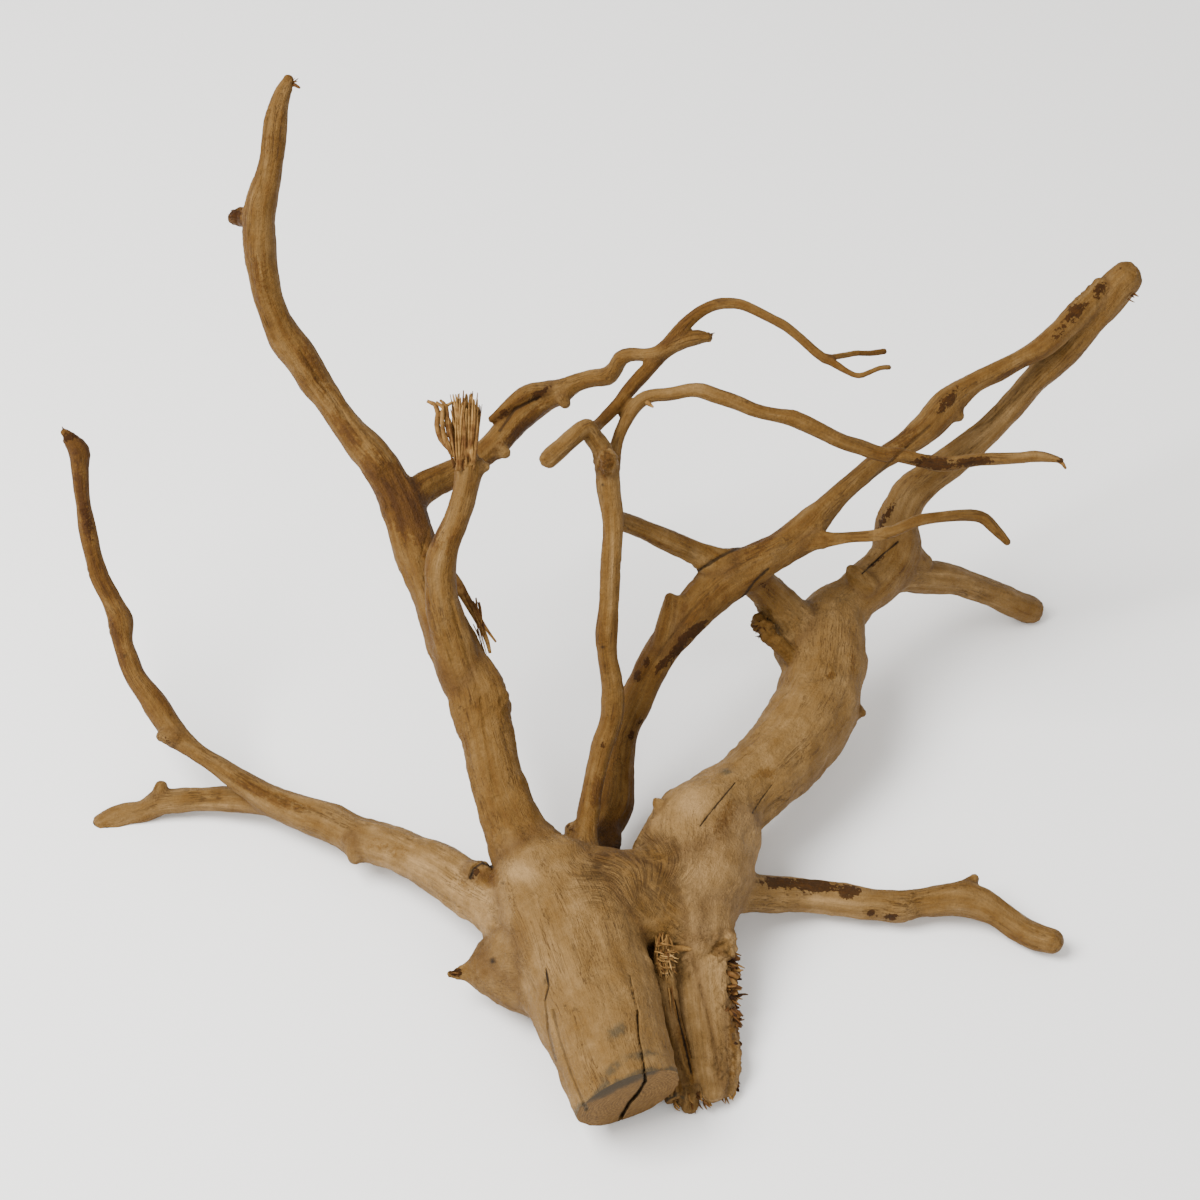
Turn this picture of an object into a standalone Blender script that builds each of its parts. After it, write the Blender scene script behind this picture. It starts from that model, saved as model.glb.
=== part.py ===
"""Spiderwood root: one bare, branching root of an azalea shrub, lying on its sawn stump and two root ends.

The root is drawn as centre lines. Each line is a row of stations, read as it is seen from the front and
above: how far right and up on a picture plane, how far toward the viewer, and the root's radius there, in
millimetres. Round tapered tubes along the lines are fused into one skin, the skin is drawn tight with soft
fillets where roots join, and then the stump is sawn, split and torn.
"""

import math
import random

import bmesh
import bpy
import numpy as np
from mathutils import Matrix, Vector, noise

MM = 0.001

NAME = "spiderwood_root"

# The picture plane on which the stations are read
VIEW_TILT = math.radians(45.0)
VIEW_DISTANCE = 1500.0
VIEW_MIDDLE_UP = 260.0

# Where the middle of the finished root's footprint falls in the stations' own frame
FOOTPRINT_MIDDLE = Vector((3.0, 203.0, 0.0))

# Skin
TUBE_BEVEL = 2
SKIN_VOXEL = 1.2
THINNEST_FUSED = 1.7
STATION_STEP = 3.0
FILLET_LEAST = 2.5
FILLET_MOST = 6.5
FILLET_SHARE = 0.6
DRAW_STEPS = 5
LONGEST_DRAW = 4.0
FAR = 1000.0
CHUNK = 4000
LUMP_HEIGHT = 0.1
LUMP_WIDEST = 14.0
LUMP_SIZE = 19.0
SKIN_TRIANGLES = 8600

WOOD_COLOUR = (0.46, 0.31, 0.17, 1.0)
WOOD_ROUGHNESS = 0.72

# Centre lines, from thick to thin: (right, up, toward the viewer, radius)
LINES = {
    "stump": [
        (20.5, -9, 38, 25.5), (14.5, 10, 27, 27.2), (8.5, 26, 17, 28.8), (4.5, 41, 7, 29.6),
        (-2, 58, -6, 31.5), (-9, 77, -19, 33), (-16, 97, -31, 32), (-25, 114, -42, 28),
        (-33, 130, -50, 19),
    ],
    "saddle": [
        (-34, 121, -46, 15), (-16, 120, -44, 18), (3, 119, -44, 18), (22, 119, -48, 18),
        (42, 124, -58, 19),
    ],
    "core": [
        (14, 112, -62, 20), (24, 92, -53, 16), (28, 70, -41, 12), (32, 48, -28, 9.5),
        (35, 30, -18, 7.5), (37, 18, -11, 6),
    ],
    "saddle_web": [(34, 124, -62, 15), (24, 134, -68, 8), (31, 142, -70, 10)],
    "back_fill": [(-16, 124, -52, 14), (-9, 129, -64, 13), (-4, 134, -76, 11), (2, 140, -84, 8.5)],
    "thin_foot": [(-8, 122, -54, 12), (-12, 136, -62, 8), (-12.5, 145, -66, 5)],
    "shoulder": [
        (60, 88, -34, 8), (48, 96, -40, 15), (44, 108, -46, 20), (50, 120, -55, 23), (58, 140, -72, 22),
    ],
    "left_web": [
        (-18, 74, -28, 24), (-36, 76, -34, 22), (-48, 77, -37, 16.5), (-56, 75.5, -38, 10.5),
        (-64, 74.5, -38, 5.5), (-71, 73.8, -37, 2.8), (-75, 73, -36, 1.6),
    ],
    "low_left": [
        (-34, 99, -38, 20), (-54, 109, -48, 14.6), (-67.5, 117, -60, 12.6), (-80, 125, -71, 12.6),
        (-100, 135, -88, 10.5), (-120, 142, -103, 10), (-137, 150, -112, 9.5), (-150, 154, -117, 8.5),
        (-165, 161, -120, 7.3), (-180, 170, -120, 6), (-190, 177, -120, 4.9), (-201, 184, -122, 4.5),
        (-212, 193, -125, 6.4), (-223, 209, -128, 6.1), (-231, 220, -130, 5.2),
        (-235.5, 230, -131, 5.4), (-238.5, 240, -133, 5.2), (-239.5, 250, -134, 5.9),
        (-244, 260, -135, 5), (-249.5, 270, -135, 4.6), (-253, 281, -134, 4.4), (-255, 291, -132, 4.4),
        (-257, 302, -130, 4), (-259, 314, -127, 3.8), (-260, 327, -124, 4.2), (-260.5, 335, -122, 4.9),
        (-265, 341, -121, 3.5), (-267.5, 344, -121, 2.2),
    ],
    "left_foot": [
        (-150, 155, -118, 5), (-166, 158.5, -125, 6), (-182, 160.8, -132, 6.2),
        (-200, 160.8, -136, 5.8), (-210, 159.8, -138, 6.2), (-220, 158.5, -139, 6.6),
        (-228, 154.8, -140, 5.5), (-236, 153.2, -141.5, 5.8), (-243, 151, -141.5, 6),
        (-248.5, 149.2, -141.5, 4.8),
    ],
    "tall_left": [
        (-36, 132, -50, 17), (-43, 147, -54, 14.6), (-48, 160, -58, 13.6), (-52, 173, -61, 12.7),
        (-55, 186, -64, 12.9), (-59, 202, -68, 14.2), (-62, 216, -71, 14.2), (-69.5, 229, -74, 13.4),
        (-77, 246, -78, 11.6), (-83.5, 262, -82, 10.4), (-89, 277, -86, 10.6), (-94, 292, -89, 11.2),
        (-98, 305, -91, 10.6), (-104, 318, -93, 10), (-112, 330, -95, 9.2), (-124, 344, -96, 8.1),
        (-134.5, 359, -96, 6.9), (-143.5, 371.5, -94, 8), (-151.2, 383.5, -91, 8.5),
        (-159, 395, -87, 7.9), (-165, 409, -81, 7.1), (-168, 422, -75, 7.4), (-170, 436, -69, 8),
        (-170, 451, -63, 8), (-169, 461.5, -59, 7.6), (-166, 471, -55, 6.4), (-164, 482, -51, 6.1),
        (-162.5, 499, -45, 6.1), (-160.5, 508, -43, 4.9), (-157.5, 517, -41, 3.6),
        (-155.8, 520.5, -40, 2.6),
    ],
    "broken_fork": [
        (-170, 448, -66, 4), (-174, 451, -78, 4.6), (-180, 452, -88, 4.4), (-183, 451.5, -91, 3.2),
    ],
    "frayed": [
        (-68, 222, -66, 9), (-73, 238, -64, 9.4), (-77, 251, -62, 8.8), (-79.5, 264, -60, 8),
        (-79.5, 278, -56, 7.5), (-76.5, 290, -51, 6.7), (-72, 300, -46, 6.4), (-68.5, 310, -42, 6.2),
        (-66.3, 320, -39, 6.6), (-65.5, 327, -37, 6.9), (-66.8, 334, -35, 6), (-68.5, 341, -33, 6),
        (-70, 349, -31, 6.2), (-70.5, 354, -30, 5.4),
    ],
    "cross_left": [
        (-96, 309, -93, 7.5), (-89, 316, -100, 8), (-78, 321.5, -108, 6.9), (-65, 328.5, -114, 6),
        (-52.5, 338.5, -117, 6.8), (-41, 351, -119, 7.1), (-28, 361, -119, 6.7),
        (-20, 364.5, -117, 6.3), (-12, 369, -114, 4.8), (-4, 371.5, -110, 4.5), (3, 372.3, -105, 4.6),
        (7.5, 376.5, -101, 4), (10, 381, -97, 3.7), (15, 383.3, -94, 3.3), (22.5, 383.2, -90, 3.2),
        (29, 384, -88, 3.8), (35.5, 387, -87, 3.8), (42.5, 390.3, -86, 4), (49, 391.8, -85, 3.8),
        (54, 391.8, -85, 2.4),
    ],
    "cross_fin": [(-54, 351, -115, 2), (-46, 357, -114, 3.6), (-36, 364, -114, 4.2), (-26, 365, -116, 4.4)],
    "thin": [
        (-7, 132, -50, 6.6), (-7, 145, -60, 5.6), (-5, 158, -68, 5.4), (-2.8, 170, -73, 5.3),
        (-0.6, 180, -76, 5.3), (2, 190, -78, 5.4), (5.5, 200, -79, 5.6), (6.5, 210, -78, 5.6),
        (6, 220, -75, 5.4), (4, 231, -72, 5.2), (3.3, 241, -69, 5.5), (4, 252, -67, 5.1),
        (5, 265, -65, 5), (5.6, 280, -63, 5.1), (6.5, 294, -62, 4.9), (5.9, 304, -61, 5.2),
        (4.3, 315, -60, 5.6), (3.7, 325, -59, 5.2), (1, 336, -57, 4.9), (-3, 341.5, -55, 4.7),
        (-6.6, 346.5, -52, 4.6), (-12, 343, -49, 4.6), (-18.5, 337, -46, 4.6), (-25.5, 331, -43, 4.5),
    ],
    "lopped": [(4, 324, -62, 4.5), (4, 328, -54, 5), (4.4, 331.5, -47, 4.7)],
    "arch": [
        (5.5, 322, -66, 4), (7.3, 334, -74, 3.4), (9, 341, -77, 3.1), (11.3, 347, -79, 3.1),
        (15, 354, -79, 3.3), (20, 360, -78, 3.7), (26, 362.8, -76, 3.5), (35, 363.5, -73, 3.5),
        (45, 365.3, -71, 3.7), (51, 365, -70, 4), (59, 362.3, -69, 3.8), (68, 359.3, -68, 3.6),
        (78, 355.3, -68, 3.5), (88, 353, -69, 3.6), (95.5, 351.7, -70, 4.2), (103, 348.7, -71, 4.2),
        (111, 344.5, -73, 3.9), (120, 340, -75, 3.9), (130, 336.8, -78, 3.8), (140, 333.5, -81, 3.6),
        (150, 332.8, -84, 3.7), (160, 330.2, -86, 3.4), (170, 328.3, -87, 3.7), (180, 329.2, -87, 3.5),
        (190, 330.8, -87, 3.4), (201, 331.3, -86, 3.2), (210, 331.6, -85, 2.8), (217.5, 332.3, -84, 3),
        (225, 331.5, -83, 2.4), (230.5, 330.2, -82, 1.5),
    ],
    "twig": [
        (-3, 346.5, -60, 3.2), (-0.5, 348.5, -68, 2.9), (4.5, 353.5, -75, 3.1), (9.5, 359, -80, 3.3),
        (15, 366, -84, 3.5), (20, 371.5, -87, 3.6), (25, 377, -89, 3.6), (29, 381.5, -90, 3.7),
        (34, 388, -88, 3.6), (38.5, 393.5, -86, 3.5), (43.5, 399, -83, 3.1), (49, 403.8, -79, 3),
        (54.5, 407, -76, 2.8), (61, 408.8, -73, 2.8), (70, 408.5, -70, 2.6), (77.5, 405.3, -68, 2.5),
        (85, 401.5, -67, 2.3), (92.5, 397.5, -66, 2.4), (100, 391.5, -66, 2.4), (106, 386, -66, 2.4),
        (111, 382, -66, 2.3), (115, 380, -65, 2.1), (119, 377.5, -63, 1.8), (124, 374.5, -60, 1.5),
        (129, 372.6, -58, 1.5), (134, 374, -57, 1.4), (140, 376.5, -56, 1.3), (144.5, 376.8, -55, 1.3),
    ],
    "twiglet": [
        (113, 381, -66, 1.7), (117.5, 382, -68, 1.6), (122.5, 382.8, -71, 1.5), (129, 384, -74, 1.5),
        (135, 383.8, -77, 1.4), (142, 384.8, -80, 1.5),
    ],
    "diagonal": [
        (-6, 129, -72, 7), (-3, 138, -82, 7.6), (1, 146, -92, 9), (4.6, 153, -98, 9.8),
        (6.8, 161, -102, 10.2), (7.6, 171, -105, 9.8), (8, 181, -105, 8.8), (10, 191, -104, 8),
        (14, 201, -104, 7.8), (18, 210, -103, 8), (22.5, 220, -103, 8.2), (28, 230, -103, 8.2),
        (34, 240, -104, 8.5), (42, 250, -105, 9.2), (51, 260, -107, 10.2), (61, 269.5, -109, 10.9),
        (72, 276, -112, 10.3), (84, 282.5, -114, 9), (95, 289, -117, 8.7), (104, 297, -120, 8),
        (111, 304.5, -122, 6.6), (120, 313.5, -125, 5.3), (130, 322, -128, 5.2), (141, 331, -131, 5.3),
        (151.5, 337.5, -133, 5.8), (162.5, 345.5, -136, 7), (171.5, 355.5, -138, 7.7),
        (178.5, 362.5, -140, 6.6), (187.5, 369, -142, 4.9), (200, 375.5, -144, 5),
        (210, 380.8, -146, 4.8), (220, 386, -147, 5.4), (228.5, 393, -147, 5.8),
        (237.5, 402.5, -147, 6), (246.5, 412, -147, 5.8), (250, 416, -147, 5.4),
    ],
    "knuckle": [(38, 240, -99, 3.5), (34, 251, -98, 3.4), (33.5, 259, -99, 2.4), (34, 263, -100, 1.7)],
    "tie_left": [
        (62, 276, -108, 9), (50, 283, -101, 6.6), (37.5, 288.5, -93, 5.5), (25, 294.3, -83, 4.7),
        (16, 298, -75, 4.7), (7, 301, -66, 4.4),
    ],
    "side_shoot": [
        (100, 289, -116, 6), (108, 290.5, -115, 5), (116, 290.8, -113, 3.3), (125, 291.8, -113, 2.6),
        (135, 292.6, -113, 2.8), (145, 294.5, -112, 3), (152.5, 297.4, -112, 3),
        (160, 300.3, -113, 3.1), (170, 301.8, -114, 2.8), (180, 302.8, -116, 2.9),
        (187.5, 302.8, -118, 2.9), (192.5, 301, -119, 3), (196.5, 297, -120, 2.8),
        (200.5, 293, -121, 2.4), (203.5, 289.7, -121, 1.8),
    ],
    "tie_right": [
        (73, 275, -116, 8), (80, 268, -126, 8.6), (87, 261, -138, 9.6), (95, 250, -148, 12.5),
        (101, 241, -152, 15),
    ],
    "right_trunk": [
        (46, 108, -50, 22), (48.5, 125, -62, 25), (48, 140, -72, 26), (51.5, 145.5, -76, 25),
        (57, 151.5, -82, 22.6), (62.5, 157, -88, 20.8), (71, 163.5, -94, 19), (81, 172.5, -103, 19.2),
        (93.5, 184.5, -116, 20.6), (102.5, 197, -126, 21.8), (108.5, 208, -135, 21.3),
        (111.5, 221, -145, 20), (112.5, 232, -151, 20.6), (113.5, 243, -157, 19.2),
        (117, 253, -162, 15.5), (124.5, 259, -167, 12.6), (131.5, 265, -170, 11.8),
        (139, 272, -173, 11.8), (146, 281, -176, 11.4), (148.5, 291, -177, 10.8),
        (149, 300, -177, 10.2), (153.5, 311.5, -177, 9.4), (162.5, 320.3, -176, 8.2),
        (175, 329.7, -174, 8), (188, 340, -172, 7.2), (199, 350, -170, 6.7), (208, 360, -167, 6.3),
        (217, 370.3, -164, 6.7), (228, 380.5, -161, 7.3), (237.5, 391, -158, 7.6),
        (246, 401.5, -155, 7.9), (253.5, 411, -152, 8.6), (258.5, 417, -151, 9),
        (262, 420.5, -150, 8.6),
    ],
    "right_foot": [
        (134, 268, -174, 10.5), (148, 273.5, -186, 9.4), (160, 272.3, -196, 8.4),
        (170, 271.3, -204, 7.8), (180, 269.5, -213, 7.3), (190, 266, -223, 6.9), (200, 262, -232, 6.8),
        (208, 258, -239, 7), (213, 256.2, -244, 7.3), (215, 255.6, -246, 7),
    ],
    "low_right": [
        (50, 114, -52, 16), (62, 115, -62, 11.5), (78, 114.3, -73, 9.4), (90, 113.5, -80, 9),
        (100, 113, -84, 8.5), (110, 112, -86, 8.2), (120, 110.5, -85, 8.1), (130, 109, -84, 8),
        (140, 108.3, -83, 7.8), (151, 107.3, -82.5, 7.9), (160, 108.6, -83, 6.7),
        (170, 110.2, -83, 7.6), (180, 111, -82, 8.6), (191, 108.3, -81, 8.2), (200, 103, -78, 7.1),
        (210, 96.3, -76, 6.6), (218, 92.4, -72, 6.7), (225.5, 90, -69, 6.5),
    ],
    "low_right_nub": [(180, 113, -82, 5), (185, 118.5, -84, 3.6), (187, 121, -84, 2.4)],
    "fork_web": [(148, 292, -178, 9.5), (154, 284, -184, 7.5), (161, 279, -190, 5)],
}

# Nubs, stubs and small breaks, of the same four numbers
NUBS = {
    "saddle_nub": [(34, 152, -68, 6), (29, 158.5, -64, 3), (28, 160, -63, 1.8)],
    "trunk_nub": [(122, 206, -138, 6), (129, 204.5, -135, 3.4), (131, 204, -134, 2.2)],
    "flap": [
        (96, 231, -138, 4), (89, 238.5, -134, 4.2), (84, 243.5, -132, 4.4), (80, 248.5, -132, 4),
        (79, 251, -132, 2.6),
    ],
    "fork_nub": [(132, 268, -158, 6), (127, 273.5, -156, 4), (125.5, 275.5, -155, 2.6)],
    "low_left_knot": [(-121, 139, -98, 7), (-122, 133.5, -97, 4.4), (-122.5, 131.5, -97, 3)],
    "low_left_knob": [(-62, 119, -56, 9), (-60, 122, -50, 7), (-58, 121, -47, 4.5)],
    "foot_knot": [(-220, 163, -138, 4.5), (-219.5, 167, -137, 3.2)],
    "thorn_knot": [(-214, 192, -122, 5), (-219, 192.5, -120, 3)],
    "side_knot": [(-59, 327, -37, 4), (-57.5, 327, -37, 2.6)],
    "notch_knot": [(-49, 335, -113, 4.5), (-47.5, 334, -112, 3)],
    "elbow_knot": [(-19, 361, -114, 4), (-17.5, 359, -113, 3)],
    "dark_knot": [(178, 354, -137, 4), (179, 352.5, -136, 3)],
}

# Torn strands beside the stump: the split half of the trunk, seen from inside
STRANDS = [
    [
        (40, 104, -50, 9), (38, 88, -44, 8), (38, 70, -33, 7), (39, 50, -24, 6.5), (41, 32, -15, 6),
        (44, 14, -6, 5), (44.5, 9, -4, 4.6),
    ],
    [
        (34, 100, -46, 8), (32, 86, -38, 7), (31, 66, -27, 5.5), (32, 46, -17, 5), (34, 28, -8, 4.6),
        (36, 14, -1, 4.4), (36.5, 10, 0, 3.6),
    ],
    [
        (48, 104, -46, 10), (47, 84, -34, 8), (49, 62, -25, 7.4), (52, 40, -14, 7), (54.5, 24, -6, 7),
        (56, 15.5, -2, 6.6),
    ],
    [
        (54, 100, -46, 9), (55, 80, -38, 8), (58, 60, -29, 7.6), (62, 40, -19, 7), (63, 26, -11, 6.4),
        (62.5, 17, -7, 5.4),
    ],
    [
        (31, 94, -34, 5), (31.5, 82, -26, 3.4), (33.5, 70, -20, 3), (36, 56, -13, 2.9),
        (40, 42, -8, 2.8), (43.5, 28, -3, 2.5), (46, 20, -1, 2),
    ],
]

# Fibres at the broken ends. The brush on the frayed root is a bundle that opens toward its tips.
BRUSH_FOOT = (-70, 345, -32)
BRUSH_HEIGHT = 15.5
BRUSH_FOOT_WIDTH = 5.2
BRUSH_OPENING = 1.45
BRUSH_COUNT = 20
BRUSH_RADIUS = 1.35
BRUSH_SEED = 7
LOOSE_FIBRES = [
    [
        (-74.5, 336, -33, 1.8), (-79.5, 341, -33, 1.5), (-81.5, 348, -32, 1.5), (-81, 354, -31, 1.4),
        (-83, 358.5, -30, 1.2), (-86.5, 360, -30, 0.8),
    ],
    [
        (-74, 334, -32, 1.8), (-77.5, 341, -30, 1.4), (-79, 350, -28, 1.3), (-78.6, 357, -27, 1.2),
        (-82, 359.5, -26, 0.8),
    ],
    [(-75, 342, -31, 1.8), (-76.5, 350, -30, 1.5), (-76.8, 357, -29, 1.3), (-80, 360.5, -28, 0.8)],
    [(-80.5, 352, -31, 1.2), (-77, 357.5, -30, 1.1), (-73.5, 359.5, -30, 0.8)],
    [
        (-78, 278, -82, 3), (-71, 268, -82, 3.2), (-66, 259, -81, 2.4), (-60, 248, -80, 1.7),
        (-56.5, 240, -79, 1.3), (-55, 234, -77, 0.9),
    ],
    [(-68, 264, -81, 2.2), (-63, 256, -79, 1.6), (-57.5, 247, -76, 1.1), (-52, 239.5, -73, 0.6)],
    [(229, 330.5, -82, 1.4), (231.5, 328.5, -82, 1), (233, 326, -82, 0.6)],
    [(66, 22, -12, 2), (67, 14, -10, 1.4), (66, 11, -9, 0.7)],
    [(-156, 518, -41, 1.6), (-152.5, 518, -40, 1), (-150, 516.5, -39, 0.6)],
    [(22, 361, -78, 1.8), (24.5, 358.5, -73, 1.2), (26.5, 357, -68, 0.6)],
]
# Torn flakes down the far side of the split half: a place, how far out it reaches, and how far it hangs
TORN_FLAKES = [
    (59, 84, -38, 8, 3), (60, 77, -34, 7, 6), (59, 70, -31, 9, 2), (62, 65, -29, 7, 5),
    (63, 59, -27, 6.5, 1), (64, 54, -25, 6.5, 4), (63, 48, -22, 6, -2), (66, 43, -20, 5, 3),
    (64, 36, -17, 6, 4), (65, 31, -15, 5, -1), (63, 25, -12, 4, 3),
]
FLAKE_RADIUS = 2.6

# The saw cut across the stump, and the split that runs up from it
SAW_POINT = (15, 10.8, 24)
SAW_NORMAL = (0.36, -0.80, 0.48)
SAW_RADIUS = 34.0
SAW_DEPTH = 50.0
SPLIT_WIDTH = 1.9
SPLIT_DEPTH = 17.0
SPLIT_ROUTE = [
    (8.5, -6, 62), (13, 6, 62), (20.5, 24, 56), (19.5, 42, 46), (16.5, 60, 36), (13, 78, 24), (11, 90, 12),
]

FLOOR_CUTTER = 900.0
GOLDEN_ANGLE = math.radians(137.5)


def to_world(right, up, toward):
    """A station's place in the root's frame, in millimetres, before the footprint is centred."""
    nearer = 1.0 - toward / VIEW_DISTANCE
    across = right * nearer
    along = VIEW_MIDDLE_UP + (up - VIEW_MIDDLE_UP) * nearer
    return Vector((
        across,
        along * math.sin(VIEW_TILT) - toward * math.cos(VIEW_TILT),
        along * math.cos(VIEW_TILT) + toward * math.sin(VIEW_TILT),
    )) - FOOTPRINT_MIDDLE


def direction_to_world(direction):
    """A direction on the picture plane, turned into the root's frame."""
    right, up, toward = direction
    return Vector((
        right,
        up * math.sin(VIEW_TILT) - toward * math.cos(VIEW_TILT),
        up * math.cos(VIEW_TILT) + toward * math.sin(VIEW_TILT),
    )).normalized()


def smooth_line(stations):
    """Points and radii in millimetres along a smooth curve through the stations, about STATION_STEP apart."""
    points = [to_world(*station[:3]) for station in stations]
    radii = [station[3] * (1.0 - station[2] / VIEW_DISTANCE) for station in stations]
    points = [points[0] * 2 - points[1]] + points + [points[-1] * 2 - points[-2]]
    radii = [radii[0]] + radii + [radii[-1]]
    line, widths = [], []
    for i in range(1, len(points) - 2):
        steps = max(1, round((points[i + 1] - points[i]).length / STATION_STEP))
        for k in range(steps):
            t = k / steps
            weights = (
                -0.5 * t + t * t - 0.5 * t**3,
                1 - 2.5 * t * t + 1.5 * t**3,
                0.5 * t + 2 * t * t - 1.5 * t**3,
                -0.5 * t * t + 0.5 * t**3,
            )
            line.append(sum((points[i - 1 + j] * weights[j] for j in range(4)), Vector()))
            widths.append(sum(radii[i - 1 + j] * weights[j] for j in range(4)))
    line.append(points[-2])
    widths.append(radii[-2])
    return np.array(line), np.array(widths)


def tube(name, stations, collection, bevel=TUBE_BEVEL, thinnest=0.0):
    """A tapered, capped tube along the stations, as a closed mesh object in metres."""
    line, widths = smooth_line(stations)
    widths = np.maximum(widths, thinnest)
    curve = bpy.data.curves.new(name, "CURVE")
    curve.dimensions = "3D"
    curve.bevel_depth = MM
    curve.bevel_resolution = bevel
    curve.use_fill_caps = True
    spline = curve.splines.new("POLY")
    spline.points.add(len(line) - 1)
    for point, place, width in zip(spline.points, line, widths):
        point.co = (*(place * MM), 1.0)
        point.radius = width
    drawn = bpy.data.objects.new(name + "_line", curve)
    collection.objects.link(drawn)
    bpy.context.view_layer.update()
    graph = bpy.context.evaluated_depsgraph_get()
    mesh = bpy.data.meshes.new_from_object(drawn.evaluated_get(graph))
    bpy.data.objects.remove(drawn)
    welded = bmesh.new()
    welded.from_mesh(mesh)
    bmesh.ops.remove_doubles(welded, verts=welded.verts, dist=1e-6)
    bmesh.ops.recalc_face_normals(welded, faces=welded.faces)
    welded.to_mesh(mesh)
    welded.free()
    obj = bpy.data.objects.new(name, mesh)
    collection.objects.link(obj)
    return obj


def ball(place, radius, collection):
    """A round end for a tube, so that a broken root end isn't a flat disc."""
    mesh = bpy.data.meshes.new("round_end")
    round_end = bmesh.new()
    bmesh.ops.create_uvsphere(round_end, u_segments=12, v_segments=8, radius=radius * MM)
    round_end.to_mesh(mesh)
    round_end.free()
    obj = bpy.data.objects.new("round_end", mesh)
    obj.location = place * MM
    collection.objects.link(obj)
    return obj


def joined_mesh(objects):
    """One object that holds the faces of all of these, with their places applied."""
    whole = bmesh.new()
    for obj in objects:
        obj.data.transform(Matrix.Translation(obj.location))
        whole.from_mesh(obj.data)
        bpy.data.objects.remove(obj)
    mesh = bpy.data.meshes.new(NAME)
    whole.to_mesh(mesh)
    whole.free()
    return mesh


def apply_modifiers(obj):
    """Replaces the object's mesh by what its modifiers make of it, and removes them."""
    bpy.context.view_layer.update()
    graph = bpy.context.evaluated_depsgraph_get()
    mesh = bpy.data.meshes.new_from_object(obj.evaluated_get(graph))
    obj.modifiers.clear()
    obj.data = mesh


def even_out(skin):
    """Draws one closed skin of small even faces round all that the mesh holds."""
    remesh = skin.modifiers.new("even_out", "REMESH")
    remesh.mode = "VOXEL"
    remesh.voxel_size = SKIN_VOXEL * MM
    remesh.adaptivity = 0.0
    apply_modifiers(skin)


def fused_skin(lines, collection):
    """All tubes fused into one closed skin of small even faces."""
    tubes = []
    for name, stations in lines.items():
        tubes.append(tube(name, stations, collection, thinnest=THINNEST_FUSED))
        line, widths = smooth_line(stations)
        tubes.append(ball(Vector(line[-1]), max(widths[-1], THINNEST_FUSED), collection))
    skin = bpy.data.objects.new(NAME, joined_mesh(tubes))
    collection.objects.link(skin)
    even_out(skin)
    return skin


def nearest_on_line(points, line, widths):
    """For each point its distance to the tube, the unit vector away from the centre line, and the tube's width."""
    starts, spans = line[:-1], np.diff(line, axis=0)
    squares = (spans**2).sum(axis=1)
    share = np.einsum("nkc,kc->nk", points[:, None, :] - starts[None], spans) / squares
    share = np.clip(share, 0.0, 1.0)
    away = points[:, None, :] - (starts[None] + share[..., None] * spans[None])
    reach = np.linalg.norm(away, axis=2)
    width = widths[:-1] + share * np.diff(widths)
    rows, best = np.arange(len(points)), (reach - width).argmin(axis=1)
    reach, width = reach[rows, best], width[rows, best]
    return reach - width, away[rows, best] / np.maximum(reach, 1e-6)[:, None], width


def two_nearest(points, drawn):
    """The two tubes nearest to each point, each as its distance, the vector away from it, and its width."""
    found = [(np.full(len(points), FAR), np.zeros_like(points), np.ones(len(points))) for _ in range(2)]
    for line, widths in drawn:
        reach = widths.max() + FILLET_MOST + LONGEST_DRAW
        near = ((points > line.min(axis=0) - reach) & (points < line.max(axis=0) + reach)).all(axis=1)
        rows = np.flatnonzero(near)
        for chunk in np.array_split(rows, len(rows) // CHUNK + 1):
            new = nearest_on_line(points[chunk], line, widths)
            for old in found:
                closer = new[0] < old[0][chunk]
                kept = [part[chunk].copy() for part in old]
                for part, value in zip(old, new):
                    part[chunk[closer]] = value[closer]
                    value[closer] = kept.pop(0)[closer]
    return found


def draw_tight(skin, lines):
    """Moves the skin onto the roots' own surface, with a soft fillet wherever two of them join."""
    points = np.empty(len(skin.data.vertices) * 3)
    skin.data.vertices.foreach_get("co", points)
    points = points.reshape(-1, 3) / MM
    drawn = [smooth_line(stations) for stations in lines.values()]
    for _ in range(DRAW_STEPS):
        (first, first_away, first_width), (second, second_away, second_width) = two_nearest(points, drawn)
        fillet = np.clip(FILLET_SHARE * np.minimum(first_width, second_width), FILLET_LEAST, FILLET_MOST)
        blend = np.clip(1.0 - (second - first) / fillet, 0.0, 1.0)[:, None] / 2
        depth = first - fillet * blend[:, 0] ** 2
        pull = first_away * (1.0 - blend) + second_away * blend
        lumps = np.array([noise.noise(Vector(point) / LUMP_SIZE) for point in points])
        depth -= LUMP_HEIGHT * np.minimum(first_width, LUMP_WIDEST) * lumps
        length = np.maximum((pull**2).sum(axis=1), 0.2)
        step = -(depth / length)[:, None] * pull
        size = np.linalg.norm(step, axis=1)
        points += step * np.minimum(1.0, LONGEST_DRAW / np.maximum(size, 1e-9))[:, None]
    skin.data.vertices.foreach_set("co", (points * MM).ravel())
    skin.data.update()


def thin_out(skin):
    """Fewer, larger faces, which keep the skin's form."""
    smooth = skin.modifiers.new("settle", "SMOOTH")
    smooth.factor = 0.5
    smooth.iterations = 2
    thin = skin.modifiers.new("thin_out", "DECIMATE")
    thin.ratio = SKIN_TRIANGLES / (2 * len(skin.data.polygons))
    thin.use_collapse_triangulate = True
    apply_modifiers(skin)


def cutter(name, mesh, collection):
    """A helper object that cuts the root and is left out of it."""
    obj = bpy.data.objects.new(name, mesh)
    obj.hide_render = True
    obj.display_type = "WIRE"
    collection.objects.link(obj)
    return obj


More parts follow.
